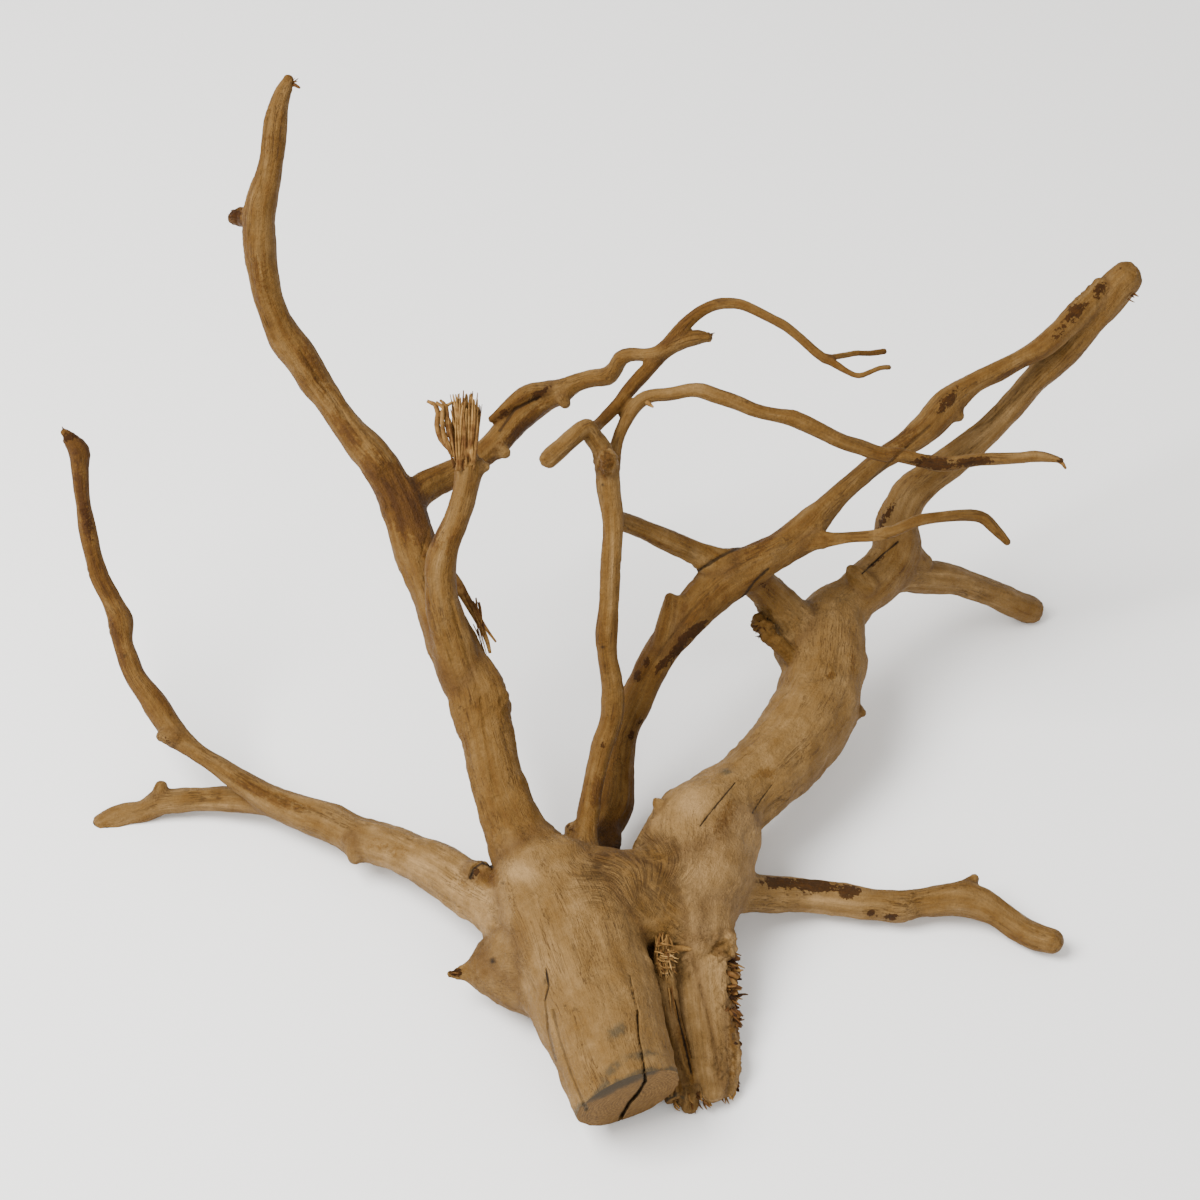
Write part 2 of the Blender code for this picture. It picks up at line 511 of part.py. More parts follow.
def saw_cutter(collection):
    """A drum whose flat face is the saw cut."""
    mesh = bpy.data.meshes.new("saw_cut")
    drum = bmesh.new()
    radius = SAW_RADIUS * MM
    bmesh.ops.create_cone(
        drum, cap_ends=True, segments=40, radius1=radius, radius2=radius, depth=SAW_DEPTH * MM
    )
    drum.to_mesh(mesh)
    drum.free()
    obj = cutter("saw_cut", mesh, collection)
    outward = direction_to_world(SAW_NORMAL)
    obj.matrix_world = Matrix.Translation(
        (to_world(*SAW_POINT) + outward * SAW_DEPTH / 2) * MM
    ) @ outward.to_track_quat("Z", "Y").to_matrix().to_4x4()
    return obj


def split_cutter(collection):
    """A thin wedge that follows the drying split up the stump, deepest at the saw cut."""
    mesh = bpy.data.meshes.new("drying_split")
    wedge = bmesh.new()
    inward = direction_to_world((0.25, 0.35, -0.9))
    rings = []
    for i, place in enumerate(SPLIT_ROUTE):
        fade = 1.0 - 0.85 * i / (len(SPLIT_ROUTE) - 1)
        middle = to_world(*place)
        side = direction_to_world((1, 0.2, 0)) * SPLIT_WIDTH * (0.35 + 0.65 * fade) / 2
        tail = middle + inward * (SPLIT_DEPTH + 22.0) * (0.45 + 0.55 * fade)
        ring = (middle - side, middle + side, tail + side / 3, tail - side / 3)
        rings.append([wedge.verts.new(corner * MM) for corner in ring])
    for lower, upper in zip(rings, rings[1:]):
        for k in range(4):
            wedge.faces.new((lower[k], lower[(k + 1) % 4], upper[(k + 1) % 4], upper[k]))
    wedge.faces.new(rings[0][::-1])
    wedge.faces.new(rings[-1])
    bmesh.ops.recalc_face_normals(wedge, faces=wedge.faces)
    wedge.to_mesh(mesh)
    wedge.free()
    return cutter("drying_split", mesh, collection)


def floor_cutter(collection):
    """A slab whose top is the floor: it leaves a small flat spot under each of the three feet."""
    mesh = bpy.data.meshes.new("floor")
    slab = bmesh.new()
    bmesh.ops.create_cube(slab, size=FLOOR_CUTTER * MM)
    slab.to_mesh(mesh)
    slab.free()
    obj = cutter("floor", mesh, collection)
    obj.location = (0, 0, -FLOOR_CUTTER * MM / 2)
    return obj


def cut_away(root, tool):
    """Cuts one helper out of the root."""
    cut = root.modifiers.new("cut_" + tool.name, "BOOLEAN")
    cut.operation = "DIFFERENCE"
    cut.solver = "EXACT"
    cut.object = tool


def keep_largest(root):
    """Drops every crumb that a cut left loose beside the root."""
    whole = bmesh.new()
    whole.from_mesh(root.data)
    unseen = set(whole.verts)
    pieces = []
    while unseen:
        piece, edge_of_piece = set(), [unseen.pop()]
        while edge_of_piece:
            vertex = edge_of_piece.pop()
            piece.add(vertex)
            for edge in vertex.link_edges:
                other = edge.other_vert(vertex)
                if other in unseen:
                    unseen.discard(other)
                    edge_of_piece.append(other)
        pieces.append(piece)
    largest = max(pieces, key=len)
    bmesh.ops.delete(whole, geom=[vertex for vertex in whole.verts if vertex not in largest])
    whole.to_mesh(root.data)
    whole.free()


def fibre_rows():
    """Every thin fibre and flake that stands out of a break, as stations."""
    draw = random.Random(BRUSH_SEED)
    rows = list(LOOSE_FIBRES)
    foot_right, foot_up, foot_toward = BRUSH_FOOT
    for i in range(BRUSH_COUNT):
        turn = i * GOLDEN_ANGLE
        reach = BRUSH_FOOT_WIDTH * math.sqrt((i + 0.5) / BRUSH_COUNT)
        across, away = reach * math.cos(turn), reach * math.sin(turn)
        height = BRUSH_HEIGHT * draw.uniform(0.72, 1.0)
        row = []
        for share, thinness in ((0.0, 1.0), (0.5, 0.95), (0.85, 0.75), (1.0, 0.5)):
            spread = 1.0 + (BRUSH_OPENING - 1.0) * share
            stray = draw.uniform(-0.8, 0.8) * share
            row.append((
                foot_right + across * spread + stray,
                foot_up + height * share,
                foot_toward + away * spread + 3.0 * share,
                BRUSH_RADIUS * thinness,
            ))
        rows.append(row)
    for right, up, toward, out, hang in TORN_FLAKES:
        rows.append([
            (right - 7, up + 4, toward, FLAKE_RADIUS),
            (right, up, toward, FLAKE_RADIUS),
            (right + out * 0.6, up - hang * 0.6, toward + 1, FLAKE_RADIUS * 0.7),
            (right + out, up - hang, toward + 1, FLAKE_RADIUS * 0.3),
        ])
    return rows


def add_fibres(root, collection):
    """Fuses the fibres into the root with one Boolean union."""
    fibres = bpy.data.collections.new("fibres")
    collection.children.link(fibres)
    for i, row in enumerate(fibre_rows()):
        tube(f"fibre_{i}", row, fibres, bevel=0)
    union = root.modifiers.new("fibres", "BOOLEAN")
    union.operation = "UNION"
    union.operand_type = "COLLECTION"
    union.solver = "EXACT"
    union.collection = fibres
    apply_modifiers(root)
    for obj in list(fibres.objects):
        bpy.data.objects.remove(obj)
    bpy.data.collections.remove(fibres)


def wood():
    """Bare pale wood."""
    material = bpy.data.materials.new("bare_wood")
    material.use_nodes = True
    shader = material.node_tree.nodes["Principled BSDF"]
    shader.inputs["Base Color"].default_value = WOOD_COLOUR
    shader.inputs["Roughness"].default_value = WOOD_ROUGHNESS
    shader.inputs["Metallic"].default_value = 0.0
    return material


def main():
    for obj in list(bpy.data.objects):
        bpy.data.objects.remove(obj)
    parts = bpy.data.collections.new(NAME)
    cutters = bpy.data.collections.new("cutters")
    for collection in (parts, cutters):
        bpy.context.scene.collection.children.link(collection)

    lines = {**LINES, **NUBS, **{f"strand_{i}": row for i, row in enumerate(STRANDS)}}
    root = fused_skin(lines, parts)
    draw_tight(root, lines)
    even_out(root)
    thin_out(root)
    add_fibres(root, parts)
    cut_away(root, split_cutter(cutters))
    cut_away(root, saw_cutter(cutters))
    cut_away(root, floor_cutter(cutters))
    apply_modifiers(root)
    keep_largest(root)
    root.data.materials.clear()
    root.data.materials.append(wood())
    root.data.shade_smooth()


main()
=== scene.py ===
"""Spiderwood root: the visual model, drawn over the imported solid, with its studio.

The root is described by centre lines on a picture plane, as the solid is. Here the same lines make a finer
skin with fibres, flutes, checks, knots and stains, and every point of the skin learns where it lies along its
limb, so that the wood's grain can follow each limb round its bends.
"""

from __future__ import annotations

import logging
import math
import random
import time
from dataclasses import dataclass, field
from enum import Enum
from typing import Iterable, Sequence, Union

import bmesh
import bpy
import numpy as np
from mathutils import Matrix, Vector, noise


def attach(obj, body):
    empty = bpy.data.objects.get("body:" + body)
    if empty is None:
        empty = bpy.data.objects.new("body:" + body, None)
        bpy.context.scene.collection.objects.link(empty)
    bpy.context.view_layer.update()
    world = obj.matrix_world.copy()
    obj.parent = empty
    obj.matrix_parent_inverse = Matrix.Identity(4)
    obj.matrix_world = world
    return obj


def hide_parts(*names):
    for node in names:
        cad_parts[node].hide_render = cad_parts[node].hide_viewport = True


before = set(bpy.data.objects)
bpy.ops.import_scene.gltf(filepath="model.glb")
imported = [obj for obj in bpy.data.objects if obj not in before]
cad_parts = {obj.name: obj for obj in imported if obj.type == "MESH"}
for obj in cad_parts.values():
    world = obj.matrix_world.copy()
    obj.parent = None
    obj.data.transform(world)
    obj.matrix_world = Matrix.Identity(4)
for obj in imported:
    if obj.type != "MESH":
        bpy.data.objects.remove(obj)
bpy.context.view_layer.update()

logging.basicConfig(level=logging.INFO, format="%(message)s")
LOG = logging.getLogger("spiderwood")

MM = 0.001
NODE = "spiderwood_root"
BODY = "root"

Station = tuple[float, float, float, float]
Row = list[Station]
Colour = tuple[float, float, float]

# Centre lines, from thick to thin: (right, up, toward the viewer, radius), in millimetres
LINES: dict[str, Row] = {
    "stump": [
        (20.5, -9, 38, 25.5), (14.5, 10, 27, 27.2), (8.5, 26, 17, 28.8), (4.5, 41, 7, 29.6),
        (-2, 58, -6, 31.5), (-9, 77, -19, 33), (-16, 97, -31, 32), (-25, 114, -42, 28),
        (-33, 130, -50, 19),
    ],
    "saddle": [
        (-34, 121, -46, 15), (-16, 120, -44, 18), (3, 119, -44, 18), (22, 119, -48, 18),
        (42, 124, -58, 19),
    ],
    "core": [
        (14, 112, -62, 20), (24, 92, -53, 16), (28, 70, -41, 12), (32, 48, -28, 9.5),
        (35, 30, -18, 7.5), (37, 18, -11, 6),
    ],
    "saddle_web": [(34, 124, -62, 15), (24, 134, -68, 8), (31, 142, -70, 10)],
    "back_fill": [(-16, 124, -52, 14), (-9, 129, -64, 13), (-4, 134, -76, 11), (2, 140, -84, 8.5)],
    "thin_foot": [(-8, 122, -54, 12), (-12, 136, -62, 8), (-12.5, 145, -66, 5)],
    "shoulder": [
        (60, 88, -34, 8), (48, 96, -40, 15), (44, 108, -46, 20), (50, 120, -55, 23), (58, 140, -72, 22),
    ],
    "left_web": [
        (-18, 74, -28, 24), (-36, 76, -34, 22), (-48, 77, -37, 16.5), (-56, 75.5, -38, 10.5),
        (-64, 74.5, -38, 5.5), (-71, 73.8, -37, 2.8), (-75, 73, -36, 1.6),
    ],
    "low_left": [
        (-34, 99, -38, 20), (-54, 109, -48, 14.6), (-67.5, 117, -60, 12.6), (-80, 125, -71, 12.6),
        (-100, 135, -88, 10.5), (-120, 142, -103, 10), (-137, 150, -112, 9.5), (-150, 154, -117, 8.5),
        (-165, 161, -120, 7.3), (-180, 170, -120, 6), (-190, 177, -120, 4.9), (-201, 184, -122, 4.5),
        (-212, 193, -125, 6.4), (-223, 209, -128, 6.1), (-231, 220, -130, 5.2),
        (-235.5, 230, -131, 5.4), (-238.5, 240, -133, 5.2), (-239.5, 250, -134, 5.9),
        (-244, 260, -135, 5), (-249.5, 270, -135, 4.6), (-253, 281, -134, 4.4), (-255, 291, -132, 4.4),
        (-257, 302, -130, 4), (-259, 314, -127, 3.8), (-260, 327, -124, 4.2), (-260.5, 335, -122, 4.9),
        (-265, 341, -121, 3.5), (-267.5, 344, -121, 2.2),
    ],
    "left_foot": [
        (-150, 155, -118, 5), (-166, 158.5, -125, 6), (-182, 160.8, -132, 6.2),
        (-200, 160.8, -136, 5.8), (-210, 159.8, -138, 6.2), (-220, 158.5, -139, 6.6),
        (-228, 154.8, -140, 5.5), (-236, 153.2, -141.5, 5.8), (-243, 151, -141.5, 6),
        (-248.5, 149.2, -141.5, 4.8),
    ],
    "tall_left": [
        (-36, 132, -50, 17), (-43, 147, -54, 14.6), (-48, 160, -58, 13.6), (-52, 173, -61, 12.7),
        (-55, 186, -64, 12.9), (-59, 202, -68, 14.2), (-62, 216, -71, 14.2), (-69.5, 229, -74, 13.4),
        (-77, 246, -78, 11.6), (-83.5, 262, -82, 10.4), (-89, 277, -86, 10.6), (-94, 292, -89, 11.2),
        (-98, 305, -91, 10.6), (-104, 318, -93, 10), (-112, 330, -95, 9.2), (-124, 344, -96, 8.1),
        (-134.5, 359, -96, 6.9), (-143.5, 371.5, -94, 8), (-151.2, 383.5, -91, 8.5),
        (-159, 395, -87, 7.9), (-165, 409, -81, 7.1), (-168, 422, -75, 7.4), (-170, 436, -69, 8),
        (-170, 451, -63, 8), (-169, 461.5, -59, 7.6), (-166, 471, -55, 6.4), (-164, 482, -51, 6.1),
        (-162.5, 499, -45, 6.1), (-160.5, 508, -43, 4.9), (-157.5, 517, -41, 3.6),
        (-155.8, 520.5, -40, 2.6),
    ],
    "broken_fork": [
        (-170, 448, -66, 4), (-174, 451, -78, 4.6), (-180, 452, -88, 4.4), (-183, 451.5, -91, 3.2),
    ],
    "frayed": [
        (-68, 222, -66, 9), (-73, 238, -64, 9.4), (-77, 251, -62, 8.8), (-79.5, 264, -60, 8),
        (-79.5, 278, -56, 7.5), (-76.5, 290, -51, 6.7), (-72, 300, -46, 6.4), (-68.5, 310, -42, 6.2),
        (-66.3, 320, -39, 6.6), (-65.5, 327, -37, 6.9), (-66.8, 334, -35, 6), (-68.5, 341, -33, 6),
        (-70, 349, -31, 6.2), (-70.5, 354, -30, 5.4),
    ],
    "cross_left": [
        (-96, 309, -93, 7.5), (-89, 316, -100, 8), (-78, 321.5, -108, 6.9), (-65, 328.5, -114, 6),
        (-52.5, 338.5, -117, 6.8), (-41, 351, -119, 7.1), (-28, 361, -119, 6.7),
        (-20, 364.5, -117, 6.3), (-12, 369, -114, 4.8), (-4, 371.5, -110, 4.5), (3, 372.3, -105, 4.6),
        (7.5, 376.5, -101, 4), (10, 381, -97, 3.7), (15, 383.3, -94, 3.3), (22.5, 383.2, -90, 3.2),
        (29, 384, -88, 3.8), (35.5, 387, -87, 3.8), (42.5, 390.3, -86, 4), (49, 391.8, -85, 3.8),
        (54, 391.8, -85, 2.4),
    ],
    "cross_fin": [(-54, 351, -115, 2), (-46, 357, -114, 3.6), (-36, 364, -114, 4.2), (-26, 365, -116, 4.4)],
    "thin": [
        (-7, 132, -50, 6.6), (-7, 145, -60, 5.6), (-5, 158, -68, 5.4), (-2.8, 170, -73, 5.3),
        (-0.6, 180, -76, 5.3), (2, 190, -78, 5.4), (5.5, 200, -79, 5.6), (6.5, 210, -78, 5.6),
        (6, 220, -75, 5.4), (4, 231, -72, 5.2), (3.3, 241, -69, 5.5), (4, 252, -67, 5.1),
        (5, 265, -65, 5), (5.6, 280, -63, 5.1), (6.5, 294, -62, 4.9), (5.9, 304, -61, 5.2),
        (4.3, 315, -60, 5.6), (3.7, 325, -59, 5.2), (1, 336, -57, 4.9), (-3, 341.5, -55, 4.7),
        (-6.6, 346.5, -52, 4.6), (-12, 343, -49, 4.6), (-18.5, 337, -46, 4.6), (-25.5, 331, -43, 4.5),
    ],
    "lopped": [(4, 324, -62, 4.5), (4, 328, -54, 5), (4.4, 331.5, -47, 4.7)],
    "arch": [
        (5.5, 322, -66, 4), (7.3, 334, -74, 3.4), (9, 341, -77, 3.1), (11.3, 347, -79, 3.1),
        (15, 354, -79, 3.3), (20, 360, -78, 3.7), (26, 362.8, -76, 3.5), (35, 363.5, -73, 3.5),
        (45, 365.3, -71, 3.7), (51, 365, -70, 4), (59, 362.3, -69, 3.8), (68, 359.3, -68, 3.6),
        (78, 355.3, -68, 3.5), (88, 353, -69, 3.6), (95.5, 351.7, -70, 4.2), (103, 348.7, -71, 4.2),
        (111, 344.5, -73, 3.9), (120, 340, -75, 3.9), (130, 336.8, -78, 3.8), (140, 333.5, -81, 3.6),
        (150, 332.8, -84, 3.7), (160, 330.2, -86, 3.4), (170, 328.3, -87, 3.7), (180, 329.2, -87, 3.5),
        (190, 330.8, -87, 3.4), (201, 331.3, -86, 3.2), (210, 331.6, -85, 2.8), (217.5, 332.3, -84, 3),
        (225, 331.5, -83, 2.4), (230.5, 330.2, -82, 1.5),
    ],
    "twig": [
        (-3, 346.5, -60, 3.2), (-0.5, 348.5, -68, 2.9), (4.5, 353.5, -75, 3.1), (9.5, 359, -80, 3.3),
        (15, 366, -84, 3.5), (20, 371.5, -87, 3.6), (25, 377, -89, 3.6), (29, 381.5, -90, 3.7),
        (34, 388, -88, 3.6), (38.5, 393.5, -86, 3.5), (43.5, 399, -83, 3.1), (49, 403.8, -79, 3),
        (54.5, 407, -76, 2.8), (61, 408.8, -73, 2.8), (70, 408.5, -70, 2.6), (77.5, 405.3, -68, 2.5),
        (85, 401.5, -67, 2.3), (92.5, 397.5, -66, 2.4), (100, 391.5, -66, 2.4), (106, 386, -66, 2.4),
        (111, 382, -66, 2.3), (115, 380, -65, 2.1), (119, 377.5, -63, 1.8), (124, 374.5, -60, 1.5),
        (129, 372.6, -58, 1.5), (134, 374, -57, 1.4), (140, 376.5, -56, 1.3), (144.5, 376.8, -55, 1.3),
    ],
    "twiglet": [
        (113, 381, -66, 1.7), (117.5, 382, -68, 1.6), (122.5, 382.8, -71, 1.5), (129, 384, -74, 1.5),
        (135, 383.8, -77, 1.4), (142, 384.8, -80, 1.5),
    ],
    "diagonal": [
        (-6, 129, -72, 7), (-3, 138, -82, 7.6), (1, 146, -92, 9), (4.6, 153, -98, 9.8),
        (6.8, 161, -102, 10.2), (7.6, 171, -105, 9.8), (8, 181, -105, 8.8), (10, 191, -104, 8),
        (14, 201, -104, 7.8), (18, 210, -103, 8), (22.5, 220, -103, 8.2), (28, 230, -103, 8.2),
        (34, 240, -104, 8.5), (42, 250, -105, 9.2), (51, 260, -107, 10.2), (61, 269.5, -109, 10.9),
        (72, 276, -112, 10.3), (84, 282.5, -114, 9), (95, 289, -117, 8.7), (104, 297, -120, 8),
        (111, 304.5, -122, 6.6), (120, 313.5, -125, 5.3), (130, 322, -128, 5.2), (141, 331, -131, 5.3),
        (151.5, 337.5, -133, 5.8), (162.5, 345.5, -136, 7), (171.5, 355.5, -138, 7.7),
        (178.5, 362.5, -140, 6.6), (187.5, 369, -142, 4.9), (200, 375.5, -144, 5),
        (210, 380.8, -146, 4.8), (220, 386, -147, 5.4), (228.5, 393, -147, 5.8),
        (237.5, 402.5, -147, 6), (246.5, 412, -147, 5.8), (250, 416, -147, 5.4),
    ],
    "knuckle": [(30, 234, -100, 5), (32.5, 246, -98, 4.8), (34.5, 255, -99, 4), (35, 261.5, -100, 2.6)],
    "tie_left": [
        (62, 276, -108, 9), (50, 283, -101, 6.6), (37.5, 288.5, -93, 5.5), (25, 294.3, -83, 4.7),
        (16, 298, -75, 4.7), (7, 301, -66, 4.4),
    ],
    "side_shoot": [
        (100, 289, -116, 6), (108, 290.5, -115, 5), (116, 290.8, -113, 3.3), (125, 291.8, -113, 2.6),
        (135, 292.6, -113, 2.8), (145, 294.5, -112, 3), (152.5, 297.4, -112, 3),
        (160, 300.3, -113, 3.1), (170, 301.8, -114, 2.8), (180, 302.8, -116, 2.9),
        (187.5, 302.8, -118, 2.9), (192.5, 301, -119, 3), (196.5, 297, -120, 2.8),
        (200.5, 293, -121, 2.4), (203.5, 289.7, -121, 1.8),
    ],
    "tie_right": [
        (73, 275, -116, 8), (80, 268, -126, 8.6), (87, 261, -138, 9.6), (95, 250, -148, 12.5),
        (101, 241, -152, 15),
    ],
    "right_trunk": [
        (46, 108, -50, 22), (48.5, 125, -62, 25), (48, 140, -72, 26), (51.5, 145.5, -76, 25),
        (57, 151.5, -82, 22.6), (62.5, 157, -88, 20.8), (71, 163.5, -94, 19), (81, 172.5, -103, 19.2),
        (93.5, 184.5, -116, 20.6), (102.5, 197, -126, 21.8), (108.5, 208, -135, 21.3),
        (111.5, 221, -145, 20), (112.5, 232, -151, 20.6), (113.5, 243, -157, 19.2),
        (117, 253, -162, 15.5), (124.5, 259, -167, 12.6), (131.5, 265, -170, 11.8),
        (139, 272, -173, 11.8), (146, 281, -176, 11.4), (148.5, 291, -177, 10.8),
        (149, 300, -177, 10.2), (153.5, 311.5, -177, 9.4), (162.5, 320.3, -176, 8.2),
        (175, 329.7, -174, 8), (188, 340, -172, 7.2), (199, 350, -170, 6.7), (208, 360, -167, 6.3),
        (217, 370.3, -164, 6.7), (228, 380.5, -161, 7.3), (237.5, 391, -158, 7.6),
        (246, 401.5, -155, 7.9), (253.5, 411, -152, 8.6), (258.5, 417, -151, 9),
        (262, 420.5, -150, 8.6),
    ],
    "right_foot": [
        (134, 268, -174, 10.5), (148, 273.5, -186, 9.4), (160, 272.3, -196, 8.4),
        (170, 271.3, -204, 7.8), (180, 269.5, -213, 7.3), (190, 266, -223, 6.9), (200, 262, -232, 6.8),
        (208, 258, -239, 7), (213, 256.2, -244, 7.3), (215, 255.6, -246, 7),
    ],
    "low_right": [
        (50, 114, -52, 16), (62, 115, -62, 11.5), (78, 114.3, -73, 9.4), (90, 113.5, -80, 9),
        (100, 113, -84, 8.5), (110, 112, -86, 8.2), (120, 110.5, -85, 8.1), (130, 109, -84, 8),
        (140, 108.3, -83, 7.8), (151, 107.3, -82.5, 7.9), (160, 108.6, -83, 6.7),
        (170, 110.2, -83, 7.6), (180, 111, -82, 8.6), (191, 108.3, -81, 8.2), (200, 103, -78, 7.1),
        (210, 96.3, -76, 6.6), (218, 92.4, -72, 6.7), (225.5, 90, -69, 6.5),
    ],
    "low_right_nub": [(180, 113, -82, 5), (185, 118.5, -84, 3.6), (187, 121, -84, 2.4)],
    "fork_web": [(148, 292, -178, 9.5), (154, 284, -184, 7.5), (161, 279, -190, 5)],
}

# Nubs, stubs and small breaks, of the same four numbers
NUBS: dict[str, Row] = {
    "saddle_nub": [(34, 152, -68, 6), (29, 158.5, -64, 3), (28, 160, -63, 1.8)],
    "trunk_nub": [(122, 206, -138, 6), (129, 204.5, -135, 3.4), (131, 204, -134, 2.2)],
    "flap": [
        (96, 231, -138, 4), (89, 238.5, -134, 4.2), (84, 243.5, -132, 4.4), (80, 248.5, -132, 4),
        (79, 251, -132, 2.6),
    ],
    "fork_nub": [(132, 268, -158, 6), (127, 273.5, -156, 4), (125.5, 275.5, -155, 2.6)],
    "low_left_knot": [(-121, 139, -98, 7), (-122, 133.5, -97, 4.4), (-122.5, 131.5, -97, 3)],
    "low_left_knob": [(-62, 119, -56, 9), (-60, 122, -50, 7), (-58, 121, -47, 4.5)],
    "foot_knot": [(-220, 163, -138, 4.5), (-219.5, 167, -137, 3.2)],
    "thorn_knot": [(-214, 192, -122, 5), (-219, 192.5, -120, 3)],
    "side_knot": [(-59, 327, -37, 4), (-57.5, 327, -37, 2.6)],
    "notch_knot": [(-49, 335, -113, 4.5), (-47.5, 334, -112, 3)],
    "elbow_knot": [(-19, 361, -114, 4), (-17.5, 359, -113, 3)],
    "dark_knot": [(178, 354, -137, 4), (179, 352.5, -136, 3)],
}

# Torn strands beside the stump: the split half of the trunk, seen from inside
STRANDS: list[Row] = [
    [
        (40, 104, -50, 9), (38, 88, -44, 8), (38, 70, -33, 7), (39, 50, -24, 6.5), (41, 32, -15, 6),
        (44, 14, -6, 5), (44.5, 9, -4, 4.6),
    ],
    [
        (34, 100, -46, 8), (32, 86, -38, 7), (31, 66, -27, 5.5), (32, 46, -17, 5), (34, 28, -8, 4.6),
        (36, 14, -1, 4.4), (36.5, 10, 0, 3.6),
    ],
    [
        (48, 104, -46, 10), (47, 84, -34, 8), (49, 62, -25, 7.4), (52, 40, -14, 7), (54.5, 24, -6, 7),
        (56, 15.5, -2, 6.6),
    ],
    [
        (54, 100, -46, 9), (55, 80, -38, 8), (58, 60, -29, 7.6), (62, 40, -19, 7), (63, 26, -11, 6.4),
        (62.5, 17, -7, 5.4),
    ],
    [
        (31, 94, -34, 5), (31.5, 82, -26, 3.4), (33.5, 70, -20, 3), (36, 56, -13, 2.9),
        (40, 42, -8, 2.8), (43.5, 28, -3, 2.5), (46, 20, -1, 2),
    ],
]

# Loose fibres at the broken ends
LOOSE_FIBRES: list[Row] = [
    [
        (-74.5, 336, -33, 1.8), (-79.5, 341, -33, 1.5), (-81.5, 348, -32, 1.5), (-81, 354, -31, 1.4),
        (-83, 358.5, -30, 1.2), (-86.5, 360, -30, 0.8),
    ],
    [
        (-74, 334, -32, 1.8), (-77.5, 341, -30, 1.4), (-79, 350, -28, 1.3), (-78.6, 357, -27, 1.2),
        (-82, 359.5, -26, 0.8),
    ],
    [(-75, 342, -31, 1.8), (-76.5, 350, -30, 1.5), (-76.8, 357, -29, 1.3), (-80, 360.5, -28, 0.8)],
    [(-80.5, 352, -31, 1.2), (-77, 357.5, -30, 1.1), (-73.5, 359.5, -30, 0.8)],
    [
        (-78, 278, -82, 3), (-71, 268, -82, 3.2), (-66, 259, -81, 2.4), (-60, 248, -80, 1.7),
        (-56.5, 240, -79, 1.3), (-55, 234, -77, 0.9),
    ],
    [(-68, 264, -81, 2.2), (-63, 256, -79, 1.6), (-57.5, 247, -76, 1.1), (-52, 239.5, -73, 0.6)],
    [(229, 330.5, -82, 1.4), (231.5, 328.5, -82, 1), (233, 326, -82, 0.6)],
    [(66, 22, -12, 2), (67, 14, -10, 1.4), (66, 11, -9, 0.7)],
    [(32, 85.5, -22, 1.5), (38, 86.5, -23, 1.7), (44, 86, -25, 1.3), (47, 85.5, -26, 0.8)],
    [(-156, 518, -41, 1.6), (-152.5, 518, -40, 1), (-150, 516.5, -39, 0.6)],
    [(22, 361, -78, 1.8), (24.5, 358.5, -73, 1.2), (26.5, 357, -68, 0.6)],
]

# Soft fillings between the thickest forms, which the viewer sees as one surface
FILLERS: dict[str, Row] = {
    "apron": [(6, 118, -35, 15), (18, 111, -32, 17), (28, 103, -32, 15), (36, 97, -34, 11)],
    "web_fill": [(-16, 86, -20, 22), (-34, 83, -27, 20), (-47, 80, -33, 14)],
    "knuckle_web": [(37, 243, -101, 5.6), (39, 253, -101, 5.6), (40, 259, -101, 4)],
    "slab": [(32, 78, -21, 5), (34, 62, -16, 4.8), (36.5, 46, -11, 4.4), (39.5, 31, -8, 3.8), (42, 20, -5, 3)],
    "crumb": [(57, 90, -38, 6), (60.5, 86.5, -35, 5.5), (62, 82, -34, 3.8)],
    "right_lobe": [
        (50, 106, -44, 17), (52, 86, -36, 12), (54, 64, -28, 10), (56, 42, -19, 9), (57.5, 26, -10, 8),
        (58, 18, -5, 6.6),
    ],
}

# How many of the last stations of the frayed limb are loose fibres, and where its solid wood ends instead
BRUSH_STATIONS = 4
BRUSH_ROOT: Station = (-66.8, 334, -35, 4.2)


class StainKind(Enum):
    """What a patch on the wood is; the value is the mesh attribute that carries it."""

    AMBER = "amber"
    BARK = "bark"
    # Paler wood, and on the stump one painted highlight
    PALE = "pale"
    # Small holes, painted dark as the shade inside them
    HOLE = "hole"
    GREY = "grey"


@dataclass(frozen=True)
class Stain:
    """A patch, as an ellipse on the picture plane, in photo pixels; slope is in degrees, clockwise."""

    kind: StainKind
    x: float
    y: float
    long: float
    wide: float
    slope: float = 0.0
    strength: float = 1.0
    depth: tuple[float, float] = (-400.0, 400.0)


@dataclass(frozen=True)
class Check:
    """A drying check or torn groove along a row of photo pixels, on whatever faces the viewer there, its inside
    darkened with painted shade.
    """

    route: tuple[tuple[float, float], ...]
    width: float
    depth: float
    # How dark the painted shade inside the check is, from 0 to 1
    dark: float = 1.0


@dataclass(frozen=True)
class Rough:
    """A broken, crumbling place: a circle at a photo pixel, its radius in pixels and its height in millimetres."""

    x: float
    y: float
    reach: float
    height: float
    depth: tuple[float, float] = (-400.0, 400.0)


@dataclass(frozen=True)
class Knot:
    """A swelling with a dimple, at a photo pixel."""

    x: float
    y: float
    size: float
    height: float


